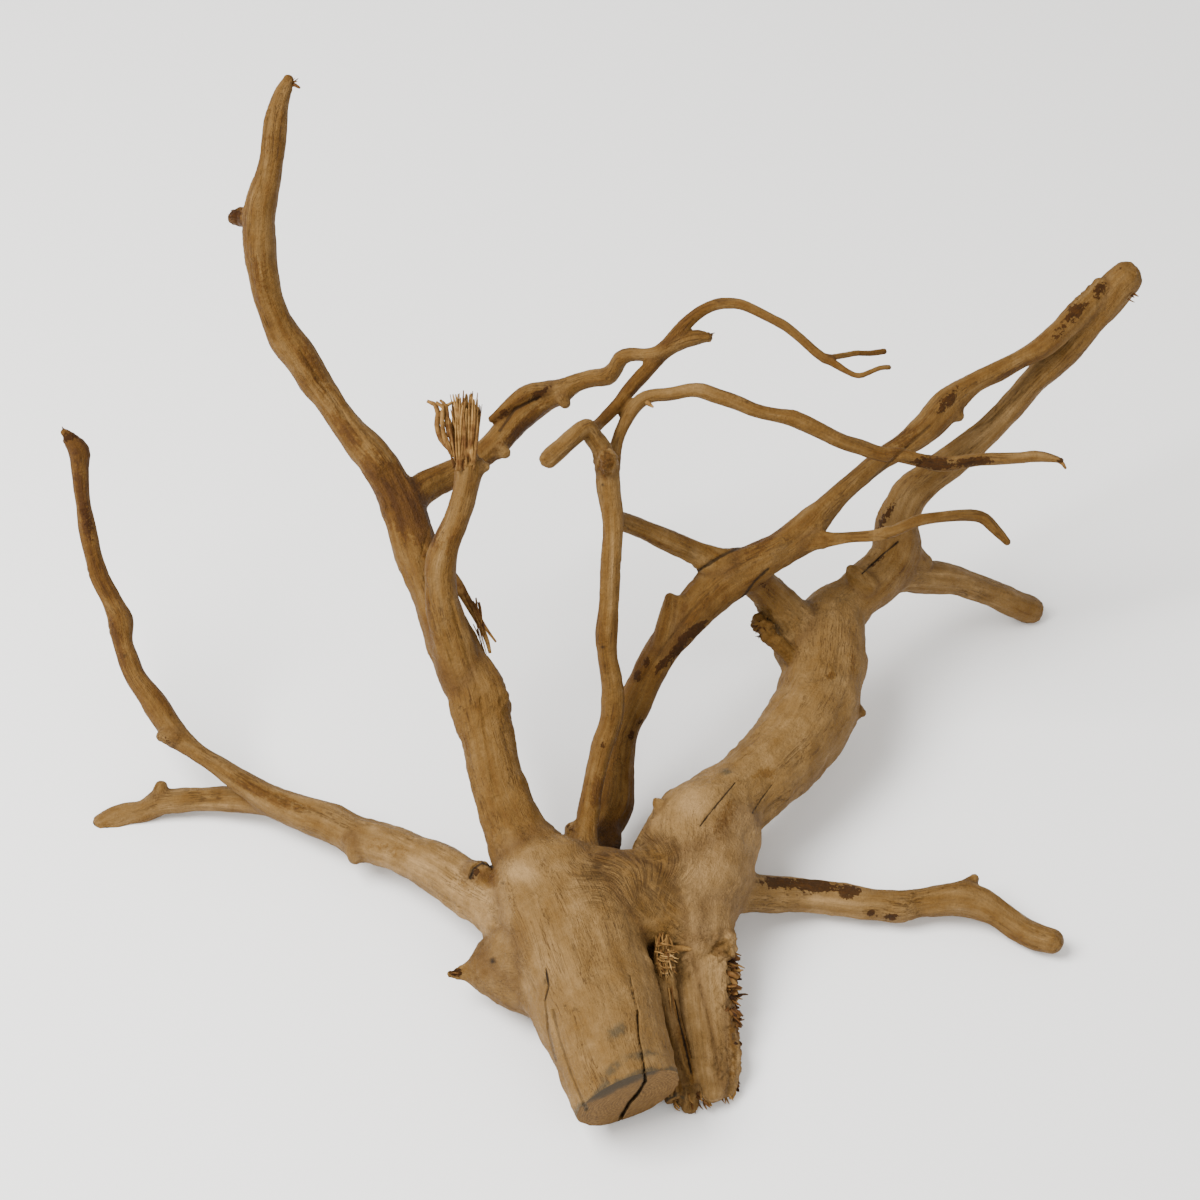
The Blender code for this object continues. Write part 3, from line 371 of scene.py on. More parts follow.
# How dark and amber each limb's wood is, at its start and at its end: 0 is pale tan and 1 is amber brown
TONES: dict[str, tuple[float, float]] = {
    "stump": (0.3, 0.28), "saddle": (0.42, 0.4), "core": (0.9, 0.9), "saddle_web": (0.1, 0.1),
    # The shoulder's pale tone is pale wood and a painted highlight on its lit side
    "back_fill": (0.6, 0.8), "thin_foot": (0.5, 0.5), "shoulder": (0.08, 0.08), "left_web": (0.3, 0.45),
    "low_left": (0.06, 0.8), "left_foot": (0.4, 0.3), "tall_left": (0.48, 0.5), "broken_fork": (0.5, 0.9),
    "frayed": (0.5, 0.5), "cross_left": (0.6, 0.45), "cross_fin": (0.7, 0.5), "thin": (0.55, 0.42),
    "lopped": (0.4, 0.35), "arch": (0.45, 0.5), "twig": (0.64, 0.6), "twiglet": (0.5, 0.6),
    "diagonal": (0.62, 0.46), "knuckle": (0.6, 0.55), "tie_left": (0.45, 0.45), "side_shoot": (0.42, 0.5),
    # low_right darkens toward its end: painted shade, where that end lies in shade
    "tie_right": (0.5, 0.25), "right_trunk": (0.25, 0.46), "right_foot": (0.2, 0.4), "low_right": (0.2, 0.4),
    "strand_0": (0.35, 0.3), "strand_1": (0.55, 0.5), "strand_2": (0.2, 0.18), "strand_3": (0.3, 0.22),
    "strand_4": (0.3, 0.3), "flap": (0.5, 0.55), "apron": (0.42, 0.4), "web_fill": (0.25, 0.3),
    "knuckle_web": (0.6, 0.55), "crumb": (0.55, 0.65), "slab": (0.3, 0.3),
    "right_lobe": (0.15, 0.25),
}
PLAIN_TONE = (0.35, 0.35)

AMBER, BARK, PALE, HOLE, GREY = StainKind
STAINS: tuple[Stain, ...] = (
    Stain(BARK, 778, 882, 20, 7, 2, 1.0), Stain(BARK, 815, 885, 26, 8, 3, 1.0), Stain(BARK, 848, 890, 14, 8, 4, 0.9),
    Stain(BARK, 870, 912, 6, 4), Stain(BARK, 890, 916, 9, 4), Stain(BARK, 935, 462, 22, 7, 4, 1.0, (-90, -20)),
    Stain(BARK, 975, 461, 22, 6, -6, 0.9, (-90, -20)), Stain(BARK, 1062, 461, 8, 6, 0, 0.9),
    Stain(BARK, 694, 630, 22, 6, -38, 0.95), Stain(BARK, 678, 648, 13, 6, -50, 0.9), Stain(BARK, 664, 662, 14, 6, -40, 0.85),
    Stain(BARK, 647, 661, 4, 7, 0, 0.85), Stain(BARK, 637, 676, 4, 6, 10, 0.85), Stain(BARK, 640, 720, 4, 6, 0, 0.7),
    Stain(BARK, 631, 735, 5, 8, 20, 0.85), Stain(BARK, 602, 745, 7, 4, -80, 0.7), Stain(BARK, 947, 402, 18, 7, -50, 0.85), Stain(BARK, 1075, 312, 16, 8, -50, 0.9),
    Stain(BARK, 1100, 288, 12, 7, -50, 0.8), Stain(BARK, 1060, 330, 20, 8, -45, 0.6), Stain(BARK, 878, 560, 20, 2.5, -40, 0.6),
    Stain(BARK, 476, 872, 4, 8, 30, 0.9), Stain(AMBER, 488, 878, 12, 12, 0, 0.9), Stain(BARK, 455, 971, 9, 5, 20, 0.9), Stain(BARK, 693, 572, 9, 6, 40, 0.6),
    Stain(BARK, 765, 585, 10, 6, 30, 0.6), Stain(BARK, 762, 628, 8, 5, 40, 0.6), Stain(AMBER, 724, 948, 12, 12, 60, 0.8),
    Stain(BARK, 739, 1000, 26, 5, 84, 0.55), Stain(AMBER, 733, 1030, 50, 7, 90, 0.7), Stain(BARK, 568, 826, 12, 6, 30, 0.6),
    Stain(BARK, 885, 517, 22, 5, -60, 0.8, (-220, -140)), Stain(BARK, 70, 436, 7, 6), Stain(BARK, 88, 520, 26, 5, 76, 0.7),
    Stain(BARK, 236, 214, 8, 8, 0, 0.8), Stain(BARK, 168, 742, 12, 7, 40, 0.5), Stain(BARK, 540, 392, 16, 5, -35, 0.8),
    Stain(BARK, 505, 412, 14, 4, -40, 0.8), Stain(BARK, 1120, 268, 16, 5, 0, 0.45), Stain(BARK, 1035, 612, 8, 10, 10, 0.25),
    Stain(BARK, 670, 1100, 16, 8, -30, 0.7), Stain(AMBER, 660, 955, 26, 10, 80, 0.6), Stain(AMBER, 684, 1040, 40, 5, 76, 0.7), Stain(AMBER, 606, 462, 7, 15, 0, 0.9), Stain(HOLE, 605, 454, 2.5, 7, 10, 0.6), Stain(BARK, 546, 461, 4, 4, 0, 0.6),
    Stain(AMBER, 726, 816, 30, 12, -66, 0.55), Stain(AMBER, 766, 772, 18, 8, -8, 0.6), Stain(AMBER, 742, 770, 10, 5, 0, 0.4),
    Stain(AMBER, 702, 775, 12, 6, -40, 0.35), Stain(AMBER, 852, 662, 22, 8, 80, 0.5), Stain(AMBER, 700, 865, 24, 9, 40, 0.35),
    Stain(AMBER, 512, 725, 40, 10, 80, 0.45), Stain(AMBER, 478, 600, 60, 14, 78, 0.4), Stain(AMBER, 402, 500, 54, 22, 50, 1.0),
    Stain(AMBER, 315, 370, 50, 12, 60, 0.6), Stain(AMBER, 262, 280, 40, 12, 85, 0.5), Stain(AMBER, 268, 150, 40, 8, 95, 0.45),
    Stain(AMBER, 345, 425, 40, 10, 55, 0.6), Stain(AMBER, 545, 905, 30, 12, 60, 0.22), Stain(AMBER, 600, 905, 26, 9, 50, 0.25),
    Stain(AMBER, 560, 1050, 50, 12, 70, 0.3), Stain(AMBER, 510, 975, 40, 14, 40, 0.28), Stain(AMBER, 500, 930, 16, 12, 0, 0.3),
    Stain(AMBER, 460, 885, 26, 12, 20, 0.45), Stain(AMBER, 390, 848, 40, 12, 20, 0.45), Stain(AMBER, 270, 795, 50, 10, 20, 0.6),
    Stain(AMBER, 118, 650, 50, 9, 78, 0.6), Stain(AMBER, 82, 500, 50, 7, 82, 0.7), Stain(AMBER, 525, 425, 34, 12, -40, 0.75),
    Stain(AMBER, 600, 600, 60, 7, 90, 0.35), Stain(AMBER, 595, 790, 30, 10, 95, 0.6), Stain(AMBER, 690, 600, 60, 22, -42, 0.35),
    Stain(AMBER, 760, 545, 40, 14, -30, 0.5), Stain(AMBER, 905, 440, 40, 12, -40, 0.55), Stain(AMBER, 1010, 375, 40, 10, -35, 0.45),
    Stain(AMBER, 1000, 420, 60, 8, -42, 0.35), Stain(AMBER, 900, 570, 30, 10, -50, 0.4), Stain(AMBER, 985, 585, 40, 12, 15, 0.3),
    Stain(AMBER, 960, 890, 26, 12, 10, 0.25), Stain(AMBER, 1040, 935, 26, 10, 30, 0.35), Stain(AMBER, 655, 545, 40, 10, 25, 0.5),
    Stain(PALE, 800, 700, 46, 34, -60, 0.25), Stain(PALE, 820, 620, 30, 26, 0, 0.25), Stain(PALE, 690, 800, 34, 26, -40, 0.6),
    # The PALE patch at (522, 872) is a painted highlight on the stump's lit upper left
    Stain(PALE, 605, 860, 60, 20, 8, 0.1), Stain(PALE, 495, 720, 40, 14, 75, 0.3), Stain(PALE, 560, 960, 50, 26, 60, 0.45), Stain(PALE, 522, 872, 22, 16, 20, 0.7),
    Stain(PALE, 440, 560, 46, 10, -80, 0.6), Stain(PALE, 465, 470, 30, 10, -75, 0.5), Stain(PALE, 905, 500, 40, 14, -50, 0.6),
    Stain(PALE, 985, 430, 60, 10, -42, 0.6), Stain(PALE, 710, 1000, 60, 14, 80, 0.45), Stain(PALE, 840, 900, 60, 8, 3, 0.45),
    Stain(PALE, 612, 560, 60, 5, 90, 0.5), Stain(PALE, 820, 530, 26, 8, -20, 0.4), Stain(PALE, 600, 1000, 60, 20, 75, 0.35),
    Stain(PALE, 265, 235, 34, 9, 90, 0.4), Stain(PALE, 1085, 300, 40, 10, -50, 0.35), Stain(PALE, 425, 860, 30, 8, 20, 0.4),
    Stain(GREY, 617, 1030, 11, 7, -30, 0.9), Stain(GREY, 640, 1054, 20, 5, -8, 0.8), Stain(GREY, 612, 1068, 16, 6, -40, 0.8), Stain(HOLE, 565, 1005, 2, 2, 0, 0.7),
    Stain(GREY, 726, 771, 7, 4, 0, 0.9), Stain(AMBER, 831, 675, 7, 4, 0, 0.8), Stain(GREY, 560, 1040, 14, 5, 70, 0.3), Stain(GREY, 645, 990, 20, 5, 80, 0.3),
    Stain(HOLE, 493, 960, 4, 4), Stain(HOLE, 545, 980, 2.5, 6, 10, 0.7), Stain(HOLE, 503, 882, 3, 3, 0, 0.8),
    Stain(HOLE, 125, 655, 3, 3, 0, 0.7), Stain(HOLE, 818, 750, 2, 2, 0, 0.5), Stain(HOLE, 590, 782, 3, 4, 0, 0.6), Stain(HOLE, 603, 484, 2.4, 2.4, 0, 0.9), Stain(HOLE, 602, 646, 2, 2, 0, 0.9),
)

CHECKS: tuple[Check, ...] = (
    Check(((618, 1126), (621, 1116), (629, 1102), (638, 1092), (645, 1080), (643, 1062)), 0.7, 4.0, 1.0),
    Check(((643, 1062), (638, 1035), (637, 1012)), 0.55, 4.0, 1.0),
    Check(((637, 1012), (632, 990), (630, 975)), 0.45, 2.5, 0.8),
    Check(((690, 575), (720, 556), (750, 541), (780, 527)), 1.0, 1.1, 0.8),
    Check(((742, 597), (755, 580), (768, 568)), 0.9, 0.9, 0.8),
    Check(((655, 980), (658, 1005), (666, 1040), (673, 1068)), 0.6, 1.2, 0.35),
    Check(((674, 1000), (683, 1035), (691, 1072)), 0.7, 2.2, 1.0),
    Check(((700, 985), (712, 1030), (718, 1075)), 0.8, 0.9, 0.4),
    Check(((686, 960), (700, 1010), (706, 1060)), 0.8, 0.7, 0.3),
    Check(((553, 1010), (560, 1040), (572, 1075), (586, 1108)), 1.0, 1.0, 0.6),
    Check(((545, 1000), (548, 1030), (556, 1060)), 1.0, 1.0, 0.6),
    Check(((590, 935), (600, 975), (606, 1010)), 0.7, 0.5, 0.35),
    Check(((575, 860), (596, 884), (612, 908)), 0.7, 0.5, 0.3),
    Check(((480, 690), (486, 740), (494, 790), (506, 830)), 0.8, 0.6, 0.3),
    Check(((450, 600), (462, 640), (478, 690)), 0.9, 0.8, 0.4),
    Check(((430, 520), (420, 560), (436, 620), (452, 660)), 0.7, 0.6, 0.3),
    Check(((470, 878), (473, 868), (482, 862), (492, 866)), 0.9, 1.6, 0.9),
    Check(((812, 590), (818, 610), (815, 625)), 0.4, 0.3, 0.5),
    Check(((770, 705), (790, 690), (800, 672)), 0.35, 0.3, 0.5),
    Check(((700, 825), (715, 806), (735, 782)), 0.45, 0.7, 1.0),
    Check(((752, 812), (762, 797), (772, 784)), 0.45, 0.5, 0.9),
    Check(((545, 1000), (549, 985), (546, 968)), 0.6, 0.8, 0.8),
    Check(((700, 770), (720, 790), (714, 815), (700, 830)), 0.6, 0.4, 0.3),
    Check(((790, 690), (770, 730), (735, 765)), 0.6, 0.4, 0.25),
    Check(((600, 500), (606, 550), (604, 610), (606, 660)), 0.7, 0.5, 0.3),
    Check(((275, 795), (320, 812), (352, 830)), 0.8, 0.7, 0.5),
    Check(((870, 480), (900, 452), (930, 425)), 0.9, 0.8, 0.6),
    Check(((910, 470), (950, 440), (990, 420), (1030, 385)), 0.9, 0.7, 0.5),
    Check(((640, 680), (668, 640), (700, 600)), 0.9, 0.7, 0.5),
    Check(((862, 573), (880, 556), (898, 541)), 0.6, 0.8, 0.9),
    Check(((500, 430), (515, 408), (540, 396)), 0.9, 0.9, 0.7),
    Check(((270, 110), (264, 150), (262, 190)), 0.8, 0.6, 0.4),
    Check(((250, 215), (248, 255), (256, 300), (276, 340)), 0.7, 0.5, 0.4),
    Check(((300, 350), (330, 395), (362, 440)), 0.8, 0.6, 0.5),
)

KNOTS: tuple[Knot, ...] = (
    Knot(486, 877, 6.0, 2.0), Knot(372, 474, 5.0, 1.2), Knot(326, 397, 4.0, 0.9), Knot(610, 465, 4.0, 0.9), Knot(606, 590, 3.6, 0.7),
    Knot(855, 575, 4.0, 1.4), Knot(735, 560, 6.0, 0.9), Knot(815, 535, 5.0, 0.8), Knot(125, 800, 4.0, 0.9),
    Knot(112, 628, 3.5, 0.9), Knot(88, 572, 3.0, 0.8), Knot(330, 838, 4.5, 1.0), Knot(420, 852, 5.0, 0.7),
    Knot(900, 905, 4.0, 0.9), Knot(965, 885, 4.5, 0.9), Knot(500, 700, 5.0, 0.8), Knot(540, 385, 4.0, 0.9),
    Knot(700, 590, 5.0, 0.8), Knot(560, 880, 7.0, 0.7), Knot(455, 650, 5.0, 0.7), Knot(790, 640, 6.0, 0.5),
    Knot(622, 360, 3.0, 0.8), Knot(795, 412, 2.6, 0.6), Knot(945, 464, 3.0, 0.6), Knot(505, 975, 5.0, 0.8),
)


FAR = 1000.0

# Where thick forms flow into each other, on the side that the viewer sees
FLOWS: tuple[Stain, ...] = (
    Stain(PALE, 600, 895, 150, 70, 5, 1.0), Stain(PALE, 510, 920, 70, 60, 0, 1.0), Stain(PALE, 510, 820, 60, 60, 70, 1.0),
    Stain(PALE, 715, 930, 60, 40, 80, 1.0), Stain(PALE, 480, 690, 70, 60, 70, 0.9), Stain(PALE, 415, 500, 40, 40, 60, 0.6),
    Stain(PALE, 700, 840, 80, 60, -40, 1.0), Stain(PALE, 830, 560, 50, 40, -40, 0.9), Stain(PALE, 440, 880, 50, 30, 30, 0.8),
    Stain(PALE, 720, 570, 30, 30, 0, 0.6), Stain(PALE, 710, 1020, 60, 30, 80, 0.7),
)
ROUGHS: tuple[Rough, ...] = (
    Rough(606, 462, 13, 1.6), Rough(237, 214, 10, 1.1), Rough(455, 972, 9, 0.8), Rough(764, 626, 20, 2.0),
    Rough(288, 84, 9, 0.7), Rough(68, 436, 9, 0.7), Rough(546, 458, 8, 0.7), Rough(1128, 272, 14, 0.7),
    Rough(1040, 607, 9, 0.7), Rough(1056, 940, 10, 0.6), Rough(102, 824, 9, 0.8), Rough(708, 336, 7, 0.6),
    Rough(486, 876, 16, 0.8), Rough(724, 950, 20, 2.2), Rough(738, 1000, 30, 1.5), Rough(736, 1060, 34, 1.4),
    Rough(672, 960, 24, 1.2), Rough(680, 1100, 26, 1.2), Rough(815, 540, 12, 0.6), Rough(700, 570, 14, 0.7),
    Rough(570, 828, 14, 0.8), Rough(888, 512, 16, 0.8), Rough(1090, 296, 24, 0.8), Rough(500, 700, 22, 0.7),
)


@dataclass(frozen=True)
class PictureFrame:
    """The picture plane that every station is read on, and its place in the root's frame."""

    tilt: float = math.radians(45.0)
    distance: float = 1500.0
    middle_up: float = 260.0
    footprint: tuple[float, float, float] = (3.0, 203.0, 0.0)

    def place(self, right: float, up: float, toward: float) -> Vector:
        """Finds a station's point in the root's frame.

        Args:
            right: Millimetres to the right of the picture's middle.
            up: Millimetres above the picture's foot.
            toward: Millimetres toward the viewer.

        Returns:
            The point, in millimetres.
        """
        nearer = 1.0 - toward / self.distance
        along = self.middle_up + (up - self.middle_up) * nearer
        sine, cosine = math.sin(self.tilt), math.cos(self.tilt)
        point = Vector((right * nearer, along * sine - toward * cosine, along * cosine + toward * sine))
        return point - Vector(self.footprint)

    def direction(self, right: float, up: float, toward: float) -> Vector:
        """Turns a direction on the picture plane into the root's frame."""
        sine, cosine = math.sin(self.tilt), math.cos(self.tilt)
        return Vector((right, up * sine - toward * cosine, up * cosine + toward * sine)).normalized()

    def read(self, points: np.ndarray) -> np.ndarray:
        """Reads points back as photo pixels and depth.

        Args:
            points: Points in the root's frame, in millimetres, one to a row.

        Returns:
            For each point its pixel across, its pixel down and its depth toward the viewer.
        """
        sine, cosine = math.sin(self.tilt), math.cos(self.tilt)
        place = points + np.array(self.footprint)
        along = place[:, 1] * sine + place[:, 2] * cosine
        toward = place[:, 2] * sine - place[:, 1] * cosine
        nearer = 1.0 - toward / self.distance
        up = self.middle_up + (along - self.middle_up) / nearer
        return np.stack([600.0 + 2.0 * place[:, 0] / nearer, 1120.0 - 2.0 * up, toward], axis=1)


PICTURE = PictureFrame()


class Grain3:
    """Seeded smooth noise on a lattice, for many points at once."""

    def __init__(self, seed: int) -> None:
        """Shuffles the lattice.

        Args:
            seed: The lattice's seed.
        """
        draw = np.random.default_rng(seed)
        self.order = draw.permutation(256)
        self.values = draw.uniform(-1.0, 1.0, 256)

    def at(self, points: np.ndarray) -> np.ndarray:
        """Noise from -1 to 1 at each point.

        Args:
            points: Lattice coordinates, one point to a row.

        Returns:
            One value for each point.
        """
        cell = np.floor(points).astype(np.int64)
        share = points - cell
        share = share * share * (3.0 - 2.0 * share)
        total = np.zeros(len(points))
        for corner in range(8):
            step = np.array([corner & 1, corner >> 1 & 1, corner >> 2 & 1])
            index = cell + step
            key = self.order[(self.order[(self.order[index[:, 0] & 255] + index[:, 1]) & 255] + index[:, 2]) & 255]
            weight = np.prod(np.where(step, share, 1.0 - share), axis=1)
            total += weight * self.values[key]
        return total

    def layered(self, points: np.ndarray, layers: int = 3) -> np.ndarray:
        """Sums layers of noise, each twice as fine and half as strong as the one before."""
        total, strength = np.zeros(len(points)), 1.0
        for layer in range(layers):
            total += strength * self.at(points * 2.0**layer + 17.3 * layer)
            strength *= 0.5
        return total


@dataclass
class Limb:
    """One centre line with its radius, smoothed, and a frame that travels along it without twisting.

    Args:
        name: The limb's name in the table; not used.
        stations: Its stations on the picture plane.
        tone: How amber its wood is at its start and at its end.
        number: Its place in the table, which also shifts its grain, so that no two limbs are alike.
    """

    name: str
    stations: Row
    tone: tuple[float, float]
    number: int
    line: np.ndarray = field(init=False)
    widths: np.ndarray = field(init=False)
    across: np.ndarray = field(init=False)
    over: np.ndarray = field(init=False)
    lengths: np.ndarray = field(init=False)

    STEP = 3.0
    SHIFT = 137.0
    BLOCK = 8

    def __post_init__(self) -> None:
        """Samples the smooth curve and carries the frame along it."""
        points = [PICTURE.place(*station[:3]) for station in self.stations]
        radii = [station[3] * (1.0 - station[2] / PICTURE.distance) for station in self.stations]
        points = [points[0] * 2 - points[1]] + points + [points[-1] * 2 - points[-2]]
        radii = [radii[0]] + radii + [radii[-1]]
        line: list[Vector] = []
        widths: list[float] = []
        for i in range(1, len(points) - 2):
            steps = max(1, round((points[i + 1] - points[i]).length / self.STEP))
            for k in range(steps):
                t = k / steps
                weights = (
                    -0.5 * t + t * t - 0.5 * t**3,
                    1 - 2.5 * t * t + 1.5 * t**3,
                    0.5 * t + 2 * t * t - 1.5 * t**3,
                    -0.5 * t * t + 0.5 * t**3,
                )
                line.append(sum((points[i - 1 + j] * weights[j] for j in range(4)), Vector()))
                widths.append(sum(radii[i - 1 + j] * weights[j] for j in range(4)))
        line.append(points[-2])
        widths.append(radii[-2])
        self.line, self.widths = np.array(line), np.array(widths)
        self._carry_frame()

    def _carry_frame(self) -> None:
        """Fills the two side vectors at each sample, and the length along the line."""
        spans = np.diff(self.line, axis=0)
        self.lengths = np.concatenate([[0.0], np.cumsum(np.linalg.norm(spans, axis=1))])
        ways = [Vector(span).normalized() for span in spans]
        ways.append(ways[-1])
        side = ways[0].orthogonal().normalized()
        across, over = [], []
        for previous, way in zip([ways[0]] + ways[:-1], ways):
            side = previous.rotation_difference(way) @ side
            across.append(side.copy())
            over.append(way.cross(side))
        self.across, self.over = np.array(across), np.array(over)

    def measure(self, points: np.ndarray, margin: float) -> tuple[np.ndarray, "Reach"]:
        """Measures points against this limb, a block of it at a time.

        Args:
            points: Points in millimetres, one to a row.
            margin: How far from the limb's skin a point may lie to be measured.

        Returns:
            The rows of the points that were measured, and where each lies along and across the limb.
        """
        depth = np.full(len(points), FAR)
        segment = np.zeros(len(points), dtype=np.int64)
        share = np.zeros(len(points))
        for first in range(0, len(self.line) - 1, self.BLOCK):
            ends = self.line[first : first + self.BLOCK + 1]
            widths = self.widths[first : first + self.BLOCK + 1]
            room = widths.max() + margin
            inside = (points > ends.min(axis=0) - room) & (points < ends.max(axis=0) + room)
            rows = np.flatnonzero(inside.all(axis=1))
            spans = np.diff(ends, axis=0)
            offset = points[rows, None, :] - ends[None, :-1]
            along = np.clip(np.einsum("nkc,kc->nk", offset, spans) / (spans**2).sum(axis=1), 0.0, 1.0)
            away = offset - along[..., None] * spans[None]
            height = np.sqrt(np.einsum("nkc,nkc->nk", away, away)) - widths[:-1] - along * np.diff(widths)
            best = height.argmin(axis=1)
            picked = np.arange(len(rows))
            closer = height[picked, best] < depth[rows]
            chosen = rows[closer]
            depth[chosen] = height[picked, best][closer]
            segment[chosen] = first + best[closer]
            share[chosen] = along[picked, best][closer]
        rows = np.flatnonzero(depth < FAR)
        return rows, self._reach(points[rows], depth[rows], segment[rows], share[rows])

    def _reach(self, points: np.ndarray, depth: np.ndarray, segment: np.ndarray, share: np.ndarray) -> "Reach":
        """Fills in a reach from each point's nearest segment and its share along it."""
        blend = share[:, None]
        away = points - self.line[segment] * (1 - blend) - self.line[segment + 1] * blend
        width = self.widths[segment] * (1 - share) + self.widths[segment + 1] * share
        across = self.across[segment] * (1 - blend) + self.across[segment + 1] * blend
        over = self.over[segment] * (1 - blend) + self.over[segment + 1] * blend
        along = self.lengths[segment] * (1 - share) + self.lengths[segment + 1] * share
        places = ((away * across).sum(1), (away * over).sum(1), along + self.SHIFT * self.number)
        fade = along / self.lengths[-1]
        tone = self.tone[0] * (1 - fade) + self.tone[1] * fade
        outward = away / np.maximum(np.linalg.norm(away, axis=1), 1e-6)[:, None]
        return Reach(depth, outward, width, np.stack(places, axis=1), tone, np.full(len(points), self.number))


@dataclass
class Reach:
    """How points lie against one limb: height over its skin, the way out, its width, grain place, tone, number."""

    depth: np.ndarray
    away: np.ndarray
    width: np.ndarray
    grain: np.ndarray
    tone: np.ndarray
    limb: np.ndarray

    @classmethod
    def empty(cls, count: int) -> "Reach":
        """A reach that no limb has claimed."""
        return cls(
            np.full(count, FAR),
            np.zeros((count, 3)),
            np.ones(count),
            np.zeros((count, 3)),
            np.zeros(count),
            np.zeros(count, dtype=np.int64),
        )

    def parts(self) -> tuple[np.ndarray, ...]:
        """Every field, in order."""
        return self.depth, self.away, self.width, self.grain, self.tone, self.limb


class Skeleton:
    """All the limbs, and how any point lies among them."""

    FILLET = (2.5, 6.5, 0.6)
    MARGIN = 9.0

    def __init__(self, rows: dict[str, Row]) -> None:
        """Smooths every row.

        Args:
            rows: The table of centre lines.
        """
        self.limbs = [
            Limb(name, row, TONES.get(name, PLAIN_TONE), number)
            for number, (name, row) in enumerate(rows.items())
        ]

    def two_nearest(self, points: np.ndarray) -> tuple[Reach, Reach]:
        """Finds the two limbs nearest to each point.

        Args:
            points: Points in millimetres, one to a row.

        Returns:
            The nearest limb's reach and the second nearest limb's.
        """
        found = (Reach.empty(len(points)), Reach.empty(len(points)))
        for limb in self.limbs:
            rows, reach = limb.measure(points, self.MARGIN)
            new = reach.parts()
            for old in found:
                closer = new[0] < old.depth[rows]
                kept = [part[rows].copy() for part in old.parts()]
                for part, value, saved in zip(old.parts(), new, kept):
                    part[rows[closer]] = value[closer]
                    value[closer] = saved[closer]
        return found

    def fillet(self, first: Reach, second: Reach) -> np.ndarray:
        """How wide the soft fillet between the two nearest limbs is."""
        least, most, share = self.FILLET
        return np.clip(share * np.minimum(first.width, second.width), least, most)


